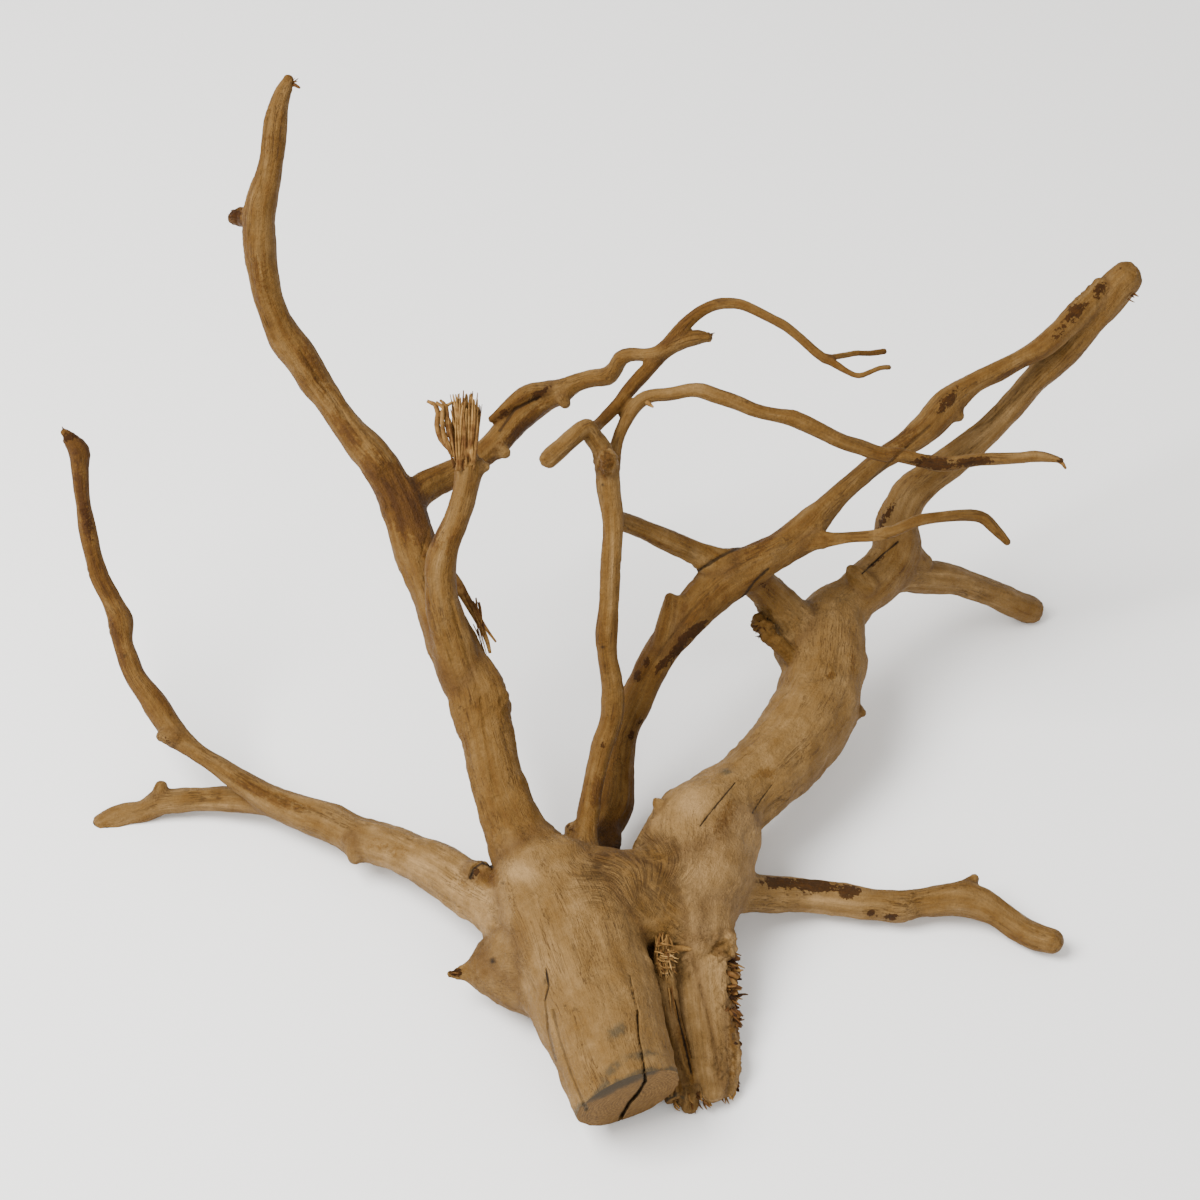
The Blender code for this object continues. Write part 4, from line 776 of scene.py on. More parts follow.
class Relief:
    """The wood's own relief: lumps, flutes and fibres along the grain, knots and checks."""

    TO_VIEWER = np.array(PICTURE.direction(0.0, 0.0, 1.0))

    def __init__(self, seed: int) -> None:
        """Seeds the lattices.

        Args:
            seed: Seed for the first lattice; the others follow it.
        """
        self.flutes, self.fibres, self.waves = Grain3(seed), Grain3(seed + 1), Grain3(seed + 2)

    @staticmethod
    def lumps(points: np.ndarray, width: np.ndarray) -> np.ndarray:
        """The same slow swellings as the solid has, in millimetres."""
        return 0.1 * np.minimum(width, 14.0) * np.array([noise.noise(Vector(point) / 19.0) for point in points])

    def _along(self, reach: Reach) -> np.ndarray:
        """Flutes and fibres of one limb."""
        width = reach.width
        pitch = (0.38 * width + 1.8)[:, None]
        grain = reach.grain
        twist = 0.25 * np.sin(grain[:, 2] / 60.0)
        turned = np.stack(
            [grain[:, 0] * np.cos(twist) - grain[:, 1] * np.sin(twist), grain[:, 0] * np.sin(twist) + grain[:, 1] * np.cos(twist)],
            axis=1,
        )
        flute = self.flutes.layered(np.hstack([turned / pitch, grain[:, 2:] / 46.0]), 2)
        fibre = self.fibres.layered(np.hstack([turned / 2.1, grain[:, 2:] / 26.0]), 2)
        wave = self.waves.at(np.hstack([turned / (pitch * 2), grain[:, 2:] / 13.0]))
        tall = np.clip(0.085 * width, 0.14, 1.3)
        ridge = 0.55 - np.abs(flute) * 1.1
        calm = np.where(width > 14.0, 0.6, 1.0)
        return tall * ridge * calm + 0.2 * fibre * np.clip(width / 5.0, 0.5, 1.0) + 0.4 * tall * wave

    def height(self, points: np.ndarray, first: Reach, second: Reach, share: np.ndarray) -> np.ndarray:
        """Relief along the grain, blended where two limbs meet, with dents that cross it."""
        dents = self.waves.layered(points / 7.5, 3) * np.clip(0.04 * first.width, 0.12, 0.65)
        return self._along(first) * share + self._along(second) * (1.0 - share) + dents

    def near_checks(self, points: np.ndarray, normals: np.ndarray, margin: float) -> np.ndarray:
        """Which points lie in or just beside a check on a face that the viewer sees."""
        read = PICTURE.read(points)
        facing = normals @ self.TO_VIEWER > 0.0
        near = np.zeros(len(points), dtype=bool)
        for check in CHECKS:
            near |= self._from_route(check, read) < check.width + margin
        return near & facing

    @staticmethod
    def _from_route(check: Check, read: np.ndarray) -> np.ndarray:
        """How far each point lies from a check's route on the picture plane, in millimetres."""
        route = np.array(check.route)
        away = np.full(len(read), FAR)
        for start, end in zip(route[:-1], route[1:]):
            span = end - start
            share = np.clip(((read[:, :2] - start) @ span) / (span @ span), 0.0, 1.0)
            away = np.minimum(away, np.linalg.norm(read[:, :2] - start - share[:, None] * span, axis=1) / 2.0)
        return away

    def marks(self, points: np.ndarray, normals: np.ndarray) -> tuple[np.ndarray, np.ndarray, np.ndarray]:
        """Knots and checks, on what faces the viewer.

        Args:
            points: Points in millimetres.
            normals: Unit normals.

        Returns:
            The height that the knots add, how far each point is sunk into a check, and how dark the painted shade
            inside the check is there.
        """
        read = PICTURE.read(points)
        facing = np.clip((normals @ self.TO_VIEWER) * 3.0, 0.0, 1.0)
        walls = np.clip((normals @ self.TO_VIEWER) * 3.0 + 1.6, 0.0, 1.0)
        height, sunk, dark = np.zeros(len(points)), np.zeros(len(points)), np.zeros(len(points))
        for knot in KNOTS:
            away = np.hypot(read[:, 0] - knot.x, read[:, 1] - knot.y) / 2.0
            swell = np.exp(-((away / knot.size) ** 2)) - 0.75 * np.exp(-((away / (0.34 * knot.size)) ** 2))
            height += knot.height * swell * facing
        crumb = self.fibres.layered(points / 2.6, 3)
        for rough in ROUGHS:
            away = np.hypot(read[:, 0] - rough.x, read[:, 1] - rough.y) / rough.reach
            height += rough.height * crumb * np.clip(1.6 - 1.2 * away, 0.0, 1.0)
        wander = 0.25 * self.waves.layered(points / 3.5, 2)
        for check in CHECKS:
            away = np.abs(self._from_route(check, read) + wander * min(1.0, check.width))
            cut = np.exp(-((away / check.width) ** 4))
            sunk = np.maximum(sunk, check.depth * cut * facing)
            # Painted shade on the walls of each check
            dark = np.maximum(dark, check.dark * cut * walls)
        return height, sunk, dark


def loft(
    line: np.ndarray, widths: np.ndarray, across: np.ndarray, over: np.ndarray, sides: int
) -> tuple[np.ndarray, list[tuple[int, ...]]]:
    """Draws a closed tube round a line.

    Args:
        line: Points along the line.
        widths: The radius at each point.
        across: The frame's first side vector at each point.
        over: The frame's second side vector at each point.
        sides: How many sides the tube has.

    Returns:
        The tube's vertices, and its faces as rows of vertex numbers.
    """
    turns = np.arange(sides) * (2 * math.pi / sides)
    ring = across[:, None] * np.cos(turns)[None, :, None] + over[:, None] * np.sin(turns)[None, :, None]
    vertices = (line[:, None] + widths[:, None, None] * ring).reshape(-1, 3)
    faces: list[tuple[int, ...]] = []
    for i in range(len(line) - 1):
        for k in range(sides):
            start, end = i * sides + k, i * sides + (k + 1) % sides
            faces.append((start, end, end + sides, start + sides))
    faces.append(tuple(range(sides))[::-1])
    faces.append(tuple(range((len(line) - 1) * sides, len(line) * sides)))
    return vertices, faces


def mesh_object(name: str, parts: Iterable[tuple[np.ndarray, list[tuple[int, ...]]]]) -> bpy.types.Object:
    """Makes one object of several sets of vertices and faces.

    Args:
        name: The object's name.
        parts: Vertices in millimetres, with the faces that number them.

    Returns:
        The object, in metres, linked to the scene.
    """
    vertices: list[np.ndarray] = []
    faces: list[tuple[int, ...]] = []
    count = 0
    for points, rows in parts:
        vertices.append(points * MM)
        faces.extend(tuple(index + count for index in row) for row in rows)
        count += len(points)
    mesh = bpy.data.meshes.new(name)
    mesh.from_pydata(np.concatenate(vertices).tolist(), [], faces)
    obj = bpy.data.objects.new(name, mesh)
    bpy.context.scene.collection.objects.link(obj)
    return obj


def apply_modifiers(obj: bpy.types.Object) -> None:
    """Replaces the object's mesh by what its modifiers make of it, and removes them."""
    bpy.context.view_layer.update()
    graph = bpy.context.evaluated_depsgraph_get()
    mesh = bpy.data.meshes.new_from_object(obj.evaluated_get(graph))
    obj.modifiers.clear()
    obj.data = mesh


def read_points(mesh: bpy.types.Mesh) -> np.ndarray:
    """Every vertex of the mesh, in millimetres."""
    points = np.empty(len(mesh.vertices) * 3)
    mesh.vertices.foreach_get("co", points)
    return points.reshape(-1, 3) / MM


def write_points(mesh: bpy.types.Mesh, points: np.ndarray) -> None:
    """Moves every vertex of the mesh; the points are in millimetres."""
    mesh.vertices.foreach_set("co", (points * MM).ravel())
    mesh.update()


def read_normals(mesh: bpy.types.Mesh) -> np.ndarray:
    """The unit normal at every vertex of the mesh."""
    normals = np.empty(len(mesh.vertices) * 3)
    mesh.vertices.foreach_get("normal", normals)
    return normals.reshape(-1, 3)


@dataclass(frozen=True)
class SawCut:
    """The flat cut across the stump."""

    point: tuple[float, float, float] = (15, 10.8, 24)
    normal: tuple[float, float, float] = (0.36, -0.80, 0.48)
    axis: tuple[float, float, float] = (0.26, -0.83, 0.48)
    radius: float = 36.0
    snap: float = 0.6

    def inside(self, points: np.ndarray) -> np.ndarray:
        """How far inside the cut each point lies, in millimetres."""
        outward = np.array(PICTURE.direction(*self.normal))
        return (np.array(PICTURE.place(*self.point)) - points) @ outward

    def spread(self, points: np.ndarray) -> np.ndarray:
        """How far each point lies from the middle of the cut, along its plane, in millimetres."""
        away = points - np.array(PICTURE.place(*self.point))
        outward = np.array(PICTURE.direction(*self.normal))
        return np.linalg.norm(away - (away @ outward)[:, None] * outward, axis=1)

    def flatten(self, points: np.ndarray) -> np.ndarray:
        """Presses all that stands past the cut onto its plane.

        Args:
            points: Points in millimetres; those past the cut are moved.

        Returns:
            Which points lie on the cut.
        """
        inside = self.inside(points)
        cut = (inside < self.snap) & (self.spread(points) < self.radius)
        axis = np.array(PICTURE.direction(*self.axis))
        points[cut] += np.outer(inside[cut] / (axis @ np.array(PICTURE.direction(*self.normal))), axis)
        return cut


@dataclass
class RootSkin:
    """The whole root as one skin: fused, drawn tight, carved, sawn, split and painted.

    Args:
        skeleton: The limbs.
        relief: The relief along the grain.
        wood: The material of the bare wood.
        end_grain: The material of the sawn face.
    """

    skeleton: Skeleton
    relief: Relief
    wood: bpy.types.Material
    end_grain: bpy.types.Material
    saw: SawCut = SawCut()

    VOXEL = 1.2
    QUICK_VOXEL = 2.2
    THINNEST = 1.42
    TRIANGLES = 188000
    SIDES = 12
    CAP_ANGLES = (25.0, 50.0, 72.0)
    LONGEST_DRAW = 4.0
    FIRST_STEPS = 3
    LAST_STEPS = 2
    FLOW_STEPS = 500
    CHECK_CUTS = 2
    GRAIN_MARGIN = 30.0
    ON_CUT = 0.08
    INWARD = (0.12, 0.25, -0.95)

    def build(self) -> bpy.types.Object:
        """Makes the root.

        Returns:
            The finished object, named after the part.
        """
        voxel = self.VOXEL
        obj = self._fuse(voxel)
        stages = (
            lambda: self._draw_tight(obj, self.FIRST_STEPS),
            lambda: self._even_out(obj, voxel),
            lambda: self._draw_tight(obj, self.LAST_STEPS),
            lambda: self._flow(obj),
            lambda: self._refine(obj),
            lambda: self._carve(obj),
            lambda: self._thin_out(obj),
            lambda: self._settle(obj),
            lambda: self._paint(obj),
        )
        names = ("tight", "even", "tight", "flow", "refine", "carve", "thin", "settle", "paint")
        for name, stage in zip(names, stages):
            began = time.time()
            stage()
            LOG.info("skin, %s: %d faces, %.1f s", name, len(obj.data.polygons), time.time() - began)
        return obj

    def _fuse(self, voxel: float) -> bpy.types.Object:
        """All limbs as tubes with round ends, under one closed skin."""
        parts = []
        angles = np.radians(self.CAP_ANGLES)
        for limb in self.skeleton.limbs:
            widths = np.maximum(limb.widths, self.THINNEST * voxel)
            rows = np.concatenate([np.zeros(len(angles), int), np.arange(len(widths)), np.full(len(angles), -1)])
            line, across, over = limb.line[rows], limb.across[rows], limb.over[rows]
            turn = np.concatenate([-angles[::-1], np.zeros(len(widths)), angles])
            line = line + np.cross(across, over) * (np.sin(turn) * widths[rows])[:, None]
            parts.append(loft(line, widths[rows] * np.cos(turn), across, over, self.SIDES))
        obj = mesh_object(NODE + "_skin", parts)
        self._even_out(obj, voxel)
        return obj

    @staticmethod
    def _even_out(obj: bpy.types.Object, voxel: float) -> None:
        """Draws one closed skin of small even faces round all that the mesh holds."""
        remesh = obj.modifiers.new("even_out", "REMESH")
        remesh.mode = "VOXEL"
        remesh.voxel_size = voxel * MM
        apply_modifiers(obj)

    def _draw_tight(self, obj: bpy.types.Object, steps: int) -> None:
        """Moves the skin onto the limbs' own surface, with a soft fillet wherever two of them join."""
        points = read_points(obj.data)
        for _ in range(steps):
            first, second = self.skeleton.two_nearest(points)
            fillet = self.skeleton.fillet(first, second)
            blend = np.clip(1.0 - (second.depth - first.depth) / fillet, 0.0, 1.0)[:, None] / 2
            depth = first.depth - fillet * blend[:, 0] ** 2 - self.relief.lumps(points, first.width)
            pull = first.away * (1.0 - blend) + second.away * blend
            step = -(depth / np.maximum((pull**2).sum(axis=1), 0.2))[:, None] * pull
            size = np.linalg.norm(step, axis=1)
            points += step * np.minimum(1.0, self.LONGEST_DRAW / np.maximum(size, 1e-9))[:, None]
        write_points(obj.data, points)

    def _flow(self, obj: bpy.types.Object) -> None:
        """Lets the thick forms flow into each other, by moving what the viewer sees along the line of sight."""
        mesh = obj.data
        points = read_points(mesh)
        facing = np.clip(read_normals(mesh) @ Relief.TO_VIEWER * 1.6 - 0.25, 0.0, 1.0)
        read = PICTURE.read(points)
        weight = np.zeros(len(points))
        for pool in FLOWS:
            slope = math.radians(pool.slope)
            right, down = read[:, 0] - pool.x, read[:, 1] - pool.y
            along = (right * math.cos(slope) + down * math.sin(slope)) / pool.long
            across = (down * math.cos(slope) - right * math.sin(slope)) / pool.wide
            inside = np.clip(1.8 - 1.4 * np.hypot(along, across), 0.0, 1.0) * pool.strength
            inside[(read[:, 2] < pool.depth[0]) | (read[:, 2] > pool.depth[1])] = 0.0
            weight = np.maximum(weight, inside)
        weight *= facing
        edges = np.empty(len(mesh.edges) * 2, dtype=np.int64)
        mesh.edges.foreach_get("vertices", edges)
        edges = edges.reshape(-1, 2)
        edges = edges[(weight[edges] > 0.0).any(axis=1)]
        used, back = np.unique(edges.ravel(), return_inverse=True)
        one, other = back.reshape(-1, 2).T
        count = np.bincount(back, minlength=len(used))
        start = points[used] @ Relief.TO_VIEWER
        toward = start.copy()
        for _ in range(self.FLOW_STEPS):
            total = np.bincount(one, toward[other], len(used)) + np.bincount(other, toward[one], len(used))
            toward += 0.7 * weight[used] * (total / count - toward)
        points[used] += np.outer(toward - start, Relief.TO_VIEWER)
        write_points(mesh, points)

    def _refine(self, obj: bpy.types.Object) -> None:
        """Flattens the sawn end, and cuts the faces round every check into small ones."""
        points = read_points(obj.data)
        self.saw.flatten(points)
        write_points(obj.data, points)
        near = self.relief.near_checks(points, read_normals(obj.data), self.VOXEL)
        whole = bmesh.new()
        whole.from_mesh(obj.data)
        whole.verts.ensure_lookup_table()
        edges = [edge for edge in whole.edges if near[edge.verts[0].index] and near[edge.verts[1].index]]
        bmesh.ops.subdivide_edges(whole, edges=edges, cuts=self.CHECK_CUTS, use_grid_fill=True)
        bmesh.ops.triangulate(whole, faces=[face for face in whole.faces if len(face.verts) > 4])
        whole.to_mesh(obj.data)
        whole.free()

    def _carve(self, obj: bpy.types.Object) -> None:
        """Raises the grain and the knots, and sinks the checks."""
        points, normals = read_points(obj.data), read_normals(obj.data)
        cut = self.saw.flatten(points)
        first, second = self.skeleton.two_nearest(points)
        share = np.clip(0.5 + (second.depth - first.depth) / (2 * self.skeleton.fillet(first, second)), 0.0, 1.0)
        knots, sunk, _ = self.relief.marks(points, normals)
        step = normals * (self.relief.height(points, first, second, share) + knots)[:, None]
        outward = np.array(PICTURE.direction(*self.saw.normal))
        step[cut] -= np.outer(step[cut] @ outward, outward)
        step += np.outer(sunk, np.array(PICTURE.direction(*self.INWARD)))
        write_points(obj.data, points + step)

    def _thin_out(self, obj: bpy.types.Object) -> None:
        """Keeps the skin's form with fewer faces."""
        count = sum(len(face.vertices) - 2 for face in obj.data.polygons)
        if count > self.TRIANGLES:
            thin = obj.modifiers.new("thin_out", "DECIMATE")
            thin.ratio = self.TRIANGLES / count
            thin.use_collapse_triangulate = True
            apply_modifiers(obj)

    def _settle(self, obj: bpy.types.Object) -> None:
        """Drops crumbs, lays the root on the floor and gives the sawn end its own material and a sharp rim."""
        obj.data.materials.clear()
        obj.data.materials.append(self.wood)
        obj.data.materials.append(self.end_grain)
        whole = bmesh.new()
        whole.from_mesh(obj.data)
        unseen = set(whole.verts)
        pieces = []
        while unseen:
            piece, rim = set(), [unseen.pop()]
            while rim:
                vertex = rim.pop()
                piece.add(vertex)
                for edge in vertex.link_edges:
                    other = edge.other_vert(vertex)
                    if other in unseen:
                        unseen.discard(other)
                        rim.append(other)
            pieces.append(piece)
        largest = max(pieces, key=len)
        bmesh.ops.delete(whole, geom=[vertex for vertex in whole.verts if vertex not in largest])
        for vertex in whole.verts:
            vertex.co.z = max(vertex.co.z, 0.0)
        outward = PICTURE.direction(*self.saw.normal)
        middle = PICTURE.place(*self.saw.point) * MM
        for face in whole.faces:
            face.smooth = True
            away = face.calc_center_median() - middle
            flat = abs(away.dot(outward)) < self.ON_CUT * MM and away.length < self.saw.radius * MM
            face.material_index = int(flat and face.normal.dot(outward) > 0.9)
        for edge in whole.edges:
            edge.smooth = len({face.material_index for face in edge.link_faces}) == 1
        whole.to_mesh(obj.data)
        whole.free()

    def _paint(self, obj: bpy.types.Object) -> None:
        """Tells every point of the skin its grain, tone and stains, the painted shade and dirt in its creases and the
        painted shade in its checks.
        """
        mesh = obj.data
        points, normals = read_points(mesh), read_normals(mesh)
        first, second = self.skeleton.two_nearest(points)
        fillet = self.skeleton.fillet(first, second)
        share = np.clip(0.5 + (second.depth - first.depth) / (2 * fillet), 0.0, 1.0)
        stains = StainPainter(self.relief.waves)
        # Painted shade and dirt in the creases where two limbs meet, darkest where the two limbs lie closest
        crease = np.clip(1.0 - (second.depth - first.depth) / fillet, 0.0, 1.0) ** 2
        # The painted shade inside the checks
        check = self.relief.marks(points, normals)[2]
        values = {
            "tone": first.tone * share + second.tone * (1.0 - share),
            "girth": np.clip((first.width * share + second.width * (1.0 - share) - 5.0) / 15.0, 0.0, 1.0),
            "crease_shade_and_dirt": np.clip(crease * 0.8, 0.0, 1.0),
            "check": check,
            "fan_share": stains.fan_share(points, normals),
            **stains.masks(points, normals),
        }
        values["grey"] = np.maximum(values["grey"], stains.dirt(self.saw, points))
        for name, numbers in values.items():
            layer = mesh.attributes.new(name, "FLOAT", "POINT")
            layer.data.foreach_set("value", numbers.astype(np.float32))
        fan = mesh.attributes.new("fan", "FLOAT_VECTOR", "POINT")
        fan.data.foreach_set("vector", stains.fan(points).astype(np.float32).ravel())
        self._lay_grain(mesh, points, first, second)

    def _lay_grain(self, mesh: bpy.types.Mesh, points: np.ndarray, first: Reach, second: Reach) -> None:
        """Stores, for every face corner, its place along and across the face's two nearest limbs."""
        corners = np.empty(len(mesh.loops), dtype=np.int64)
        mesh.loops.foreach_get("vertex_index", corners)
        totals = np.empty(len(mesh.polygons), dtype=np.int64)
        mesh.polygons.foreach_get("loop_total", totals)
        starts = np.concatenate([[0], np.cumsum(totals)[:-1]])
        leaders = np.repeat(corners[starts], totals)
        sides = []
        for lead in (first, second):
            limbs = np.where(lead.depth[leaders] < FAR, lead.limb[leaders], first.limb[leaders])
            side = Reach.empty(len(corners))
            for number in np.unique(limbs):
                rows = np.flatnonzero(limbs == number)
                used, back = np.unique(corners[rows], return_inverse=True)
                found, reach = self.skeleton.limbs[number].measure(points[used], self.GRAIN_MARGIN)
                for part, value in zip(side.parts(), reach.parts()):
                    spread = part[rows[:1]].repeat(len(used), axis=0)
                    spread[found] = value
                    part[rows] = spread[back]
            sides.append(side)
        one, other = sides
        share = np.clip(0.5 + (other.depth - one.depth) / (2 * self.skeleton.fillet(one, other)), 0.0, 1.0)
        for name, side in (("grain_a", one), ("grain_b", other)):
            layer = mesh.attributes.new(name, "FLOAT_VECTOR", "CORNER")
            layer.data.foreach_set("vector", side.grain.astype(np.float32).ravel())
        layer = mesh.attributes.new("grain_share", "FLOAT", "CORNER")
        layer.data.foreach_set("value", share.astype(np.float32))


@dataclass
class StainPainter:
    """Turns the tables of patches into masks over the skin.

    Args:
        waves: Noise that frays the edges of the patches.
    """

    waves: Grain3

    HIDDEN = 0.15
    FAN_POINT = (664.0, 928.0)
    FAN_MIDDLE = (630.0, 868.0)
    FAN_SIZE = (66.0, 46.0)
    FAN_SPREAD = 40.0

    def masks(self, points: np.ndarray, normals: np.ndarray) -> dict[str, np.ndarray]:
        """One mask for each kind of patch, from 0 to 1.

        Args:
            points: Points in millimetres.
            normals: Unit normals.

        Returns:
            The masks, by attribute name.
        """
        read = PICTURE.read(points)
        facing = np.clip((normals @ Relief.TO_VIEWER + self.HIDDEN) * 3.0, 0.0, 1.0)
        fray = self.waves.layered(points / 4.0, 2)
        masks = {kind.value: np.zeros(len(points)) for kind in StainKind}
        for stain in STAINS:
            slope = math.radians(stain.slope)
            right, down = read[:, 0] - stain.x, read[:, 1] - stain.y
            along = (right * math.cos(slope) + down * math.sin(slope)) / stain.long
            across = (down * math.cos(slope) - right * math.sin(slope)) / stain.wide
            fade = 1.15 - np.hypot(along, across) * 0.65 + 0.12 * fray
            fade = np.clip(fade, 0.0, 1.0) * facing * stain.strength
            fade = np.where((read[:, 2] > stain.depth[0]) & (read[:, 2] < stain.depth[1]), fade, 0.0)
            mask = masks[stain.kind.value]
            np.maximum(mask, fade, out=mask)
        return masks

    def fan(self, points: np.ndarray) -> np.ndarray:
        """Each point's place in the fan of fibres on the saddle: across them, unused, and along them."""
        read = PICTURE.read(points)
        right, down = read[:, 0] - self.FAN_POINT[0], read[:, 1] - self.FAN_POINT[1]
        along = np.hypot(right, down) / 2.0
        turn = np.arctan2(down, right) + 0.12 * np.sin(along / 7.0)
        return np.stack([turn * self.FAN_SPREAD, np.zeros(len(points)), along], axis=1)

    def fan_share(self, points: np.ndarray, normals: np.ndarray) -> np.ndarray:
        """How clearly the fan of fibres shows at each point, from 0 to 1."""
        read = PICTURE.read(points)
        right = (read[:, 0] - self.FAN_MIDDLE[0]) / self.FAN_SIZE[0]
        down = (read[:, 1] - self.FAN_MIDDLE[1]) / self.FAN_SIZE[1]
        facing = np.clip(normals @ Relief.TO_VIEWER * 3.0, 0.0, 1.0)
        return np.clip(1.6 - 1.4 * np.hypot(right, down), 0.0, 1.0) * facing

    def dirt(self, saw: SawCut, points: np.ndarray) -> np.ndarray:
        """Grey handling dirt on the rim of the sawn end, from 0 to 1."""
        inside = saw.inside(points) + 2.2 * self.waves.layered(points / 9.0, 2)
        near = np.clip(1.0 - np.abs(inside) / 3.6, 0.0, 1.0)
        return near * (saw.spread(points) < saw.radius)


def linear(red: float, green: float, blue: float) -> tuple[float, float, float, float]:
    """Turns a colour from 0 to 255, as a picture stores it, into the linear values that a shader takes."""
    parts = []
    for part in (red, green, blue):
        share = part / 255.0
        parts.append(share / 12.92 if share <= 0.04045 else ((share + 0.055) / 1.055) ** 2.4)
    return parts[0], parts[1], parts[2], 1.0


class Wire:
    """A node's output; sums and products of wires add Math nodes."""

    def __init__(self, shader: "ShaderBuilder", socket: bpy.types.NodeSocket) -> None:
        """Keeps the socket.

        Args:
            shader: The builder that owns the node.
            socket: The output socket.
        """
        self.shader = shader
        self.socket = socket

    def _math(self, operation: str, *operands: "Operand", clamp: bool = False) -> "Wire":
        """Adds one Math node."""
        settings = {"operation": operation, "use_clamp": clamp}
        return self.shader.node("ShaderNodeMath", settings, dict(enumerate(operands)))

    def __add__(self, other: "Operand") -> "Wire":
        return self._math("ADD", self, other)

    def __radd__(self, other: "Operand") -> "Wire":
        return self._math("ADD", other, self)

    def __sub__(self, other: "Operand") -> "Wire":
        return self._math("SUBTRACT", self, other)

    def __rsub__(self, other: "Operand") -> "Wire":
        return self._math("SUBTRACT", other, self)

    def __mul__(self, other: "Operand") -> "Wire":
        return self._math("MULTIPLY", self, other)

    def __rmul__(self, other: "Operand") -> "Wire":
        return self._math("MULTIPLY", other, self)

    def clamped(self) -> "Wire":
        """The same value, kept between 0 and 1."""
        return self._math("ADD", self, 0.0, clamp=True)

    def distance(self, middle: float) -> "Wire":
        """How far the value lies from the middle."""
        return (self - middle)._math("ABSOLUTE", self - middle)

    def over(self, low: float, high: float) -> "Wire":
        """A soft step: 0 where the value is under low, 1 where it is over high."""
        settings = {"interpolation_type": "SMOOTHSTEP"}
        return self.shader.node("ShaderNodeMapRange", settings, {0: self, 1: low, 2: high})


Operand = Union[Wire, float]
Setting = Union[str, bool, Sequence[tuple[float, tuple[float, float, float, float]]]]
Entry = Union[Wire, float, tuple[float, ...]]


class ShaderBuilder:
    """Builds one material round its Principled shader."""

    def __init__(self, name: str) -> None:
        """Starts the material.

        Args:
            name: The material's name.
        """
        self.material = bpy.data.materials.new(name)
        self.material.use_nodes = True
        self.tree = self.material.node_tree
        self.surface = self.tree.nodes["Principled BSDF"]

    def node(self, kind: str, settings: dict[str, Setting], inputs: dict[int | str, Entry], output: int = 0) -> Wire:
        """Adds a node.

        Args:
            kind: The node's type.
            settings: Its settings, set first; "stops" are a ramp's places and colours.
            inputs: The values or wires of its sockets.
            output: Which output is wanted.

        Returns:
            The output.
        """
        node = self.tree.nodes.new(kind)
        for name, value in settings.items():
            if name == "stops":
                self._set_stops(node, value)
            else:
                setattr(node, name, value)
        for socket, value in inputs.items():
            if isinstance(value, Wire):
                self.tree.links.new(value.socket, node.inputs[socket])
            else:
                node.inputs[socket].default_value = value
        return Wire(self, node.outputs[output])

    @staticmethod
    def _set_stops(node: bpy.types.Node, stops: Sequence[tuple[float, tuple[float, float, float, float]]]) -> None:
        """Sets the places and colours of a ramp."""
        elements = node.color_ramp.elements
        while len(elements) < len(stops):
            elements.new(0.5)
        for element, (place, colour) in zip(elements, stops):
            element.position = place
            element.color = colour

    def attribute(self, name: str, output: int = 2) -> Wire:
        """A number that the mesh carries; output 1 is its vector form."""
        return self.node("ShaderNodeAttribute", {"attribute_name": name}, {}, output)

    def place(self) -> Wire:
        """The point's place in the object, in millimetres."""
        place = self.node("ShaderNodeTexCoord", {}, {}, 3)
        return self.stretch(place, (1 / MM, 1 / MM, 1 / MM))

    def stretch(self, vector: Wire, scale: tuple[float, float, float]) -> Wire:
        """The vector with each part scaled."""
        return self.node("ShaderNodeVectorMath", {"operation": "MULTIPLY"}, {0: vector, 1: scale})

    def noise(self, vector: Wire, scale: tuple[float, float, float], detail: float = 2.0, rough: float = 0.5) -> Wire:
        """Noise from 0 to 1; the scale is in waves for each millimetre."""
        inputs: dict[int | str, Entry] = {
            "Vector": self.stretch(vector, scale), "Scale": 1.0, "Detail": detail, "Roughness": rough,
        }
        return self.node("ShaderNodeTexNoise", {}, inputs)

    def blend(self, share: Operand, first: Operand, second: Operand) -> Wire:
        """A number between first and second."""
        return self.node("ShaderNodeMix", {"data_type": "FLOAT"}, {0: share, 2: first, 3: second})

    def mix(self, share: Operand, first: Entry, second: Entry, kind: str = "MIX") -> Wire:
        """A colour between first and second."""
        settings: dict[str, Setting] = {"data_type": "RGBA", "blend_type": kind}
        return self.node("ShaderNodeMix", settings, {0: share, 6: first, 7: second}, 2)

    def ramp(self, value: Wire, stops: Sequence[tuple[float, tuple[float, float, float, float]]]) -> Wire:
        """The colour of a ramp at the value."""
        return self.node("ShaderNodeValToRGB", {"stops": stops}, {0: value})

    def feed(self, socket: str, value: Entry) -> None:
        """Sets or wires one socket of the surface."""
        if isinstance(value, Wire):
            self.tree.links.new(value.socket, self.surface.inputs[socket])
        else:
            self.surface.inputs[socket].default_value = value

    def bump(self, height: Wire, strength: float, distance: float) -> None:
        """Feeds a height, in shares of the distance in metres, to the surface's normal."""
        self.feed("Normal", self.node("ShaderNodeBump", {}, {"Strength": strength, "Distance": distance, "Height": height}))


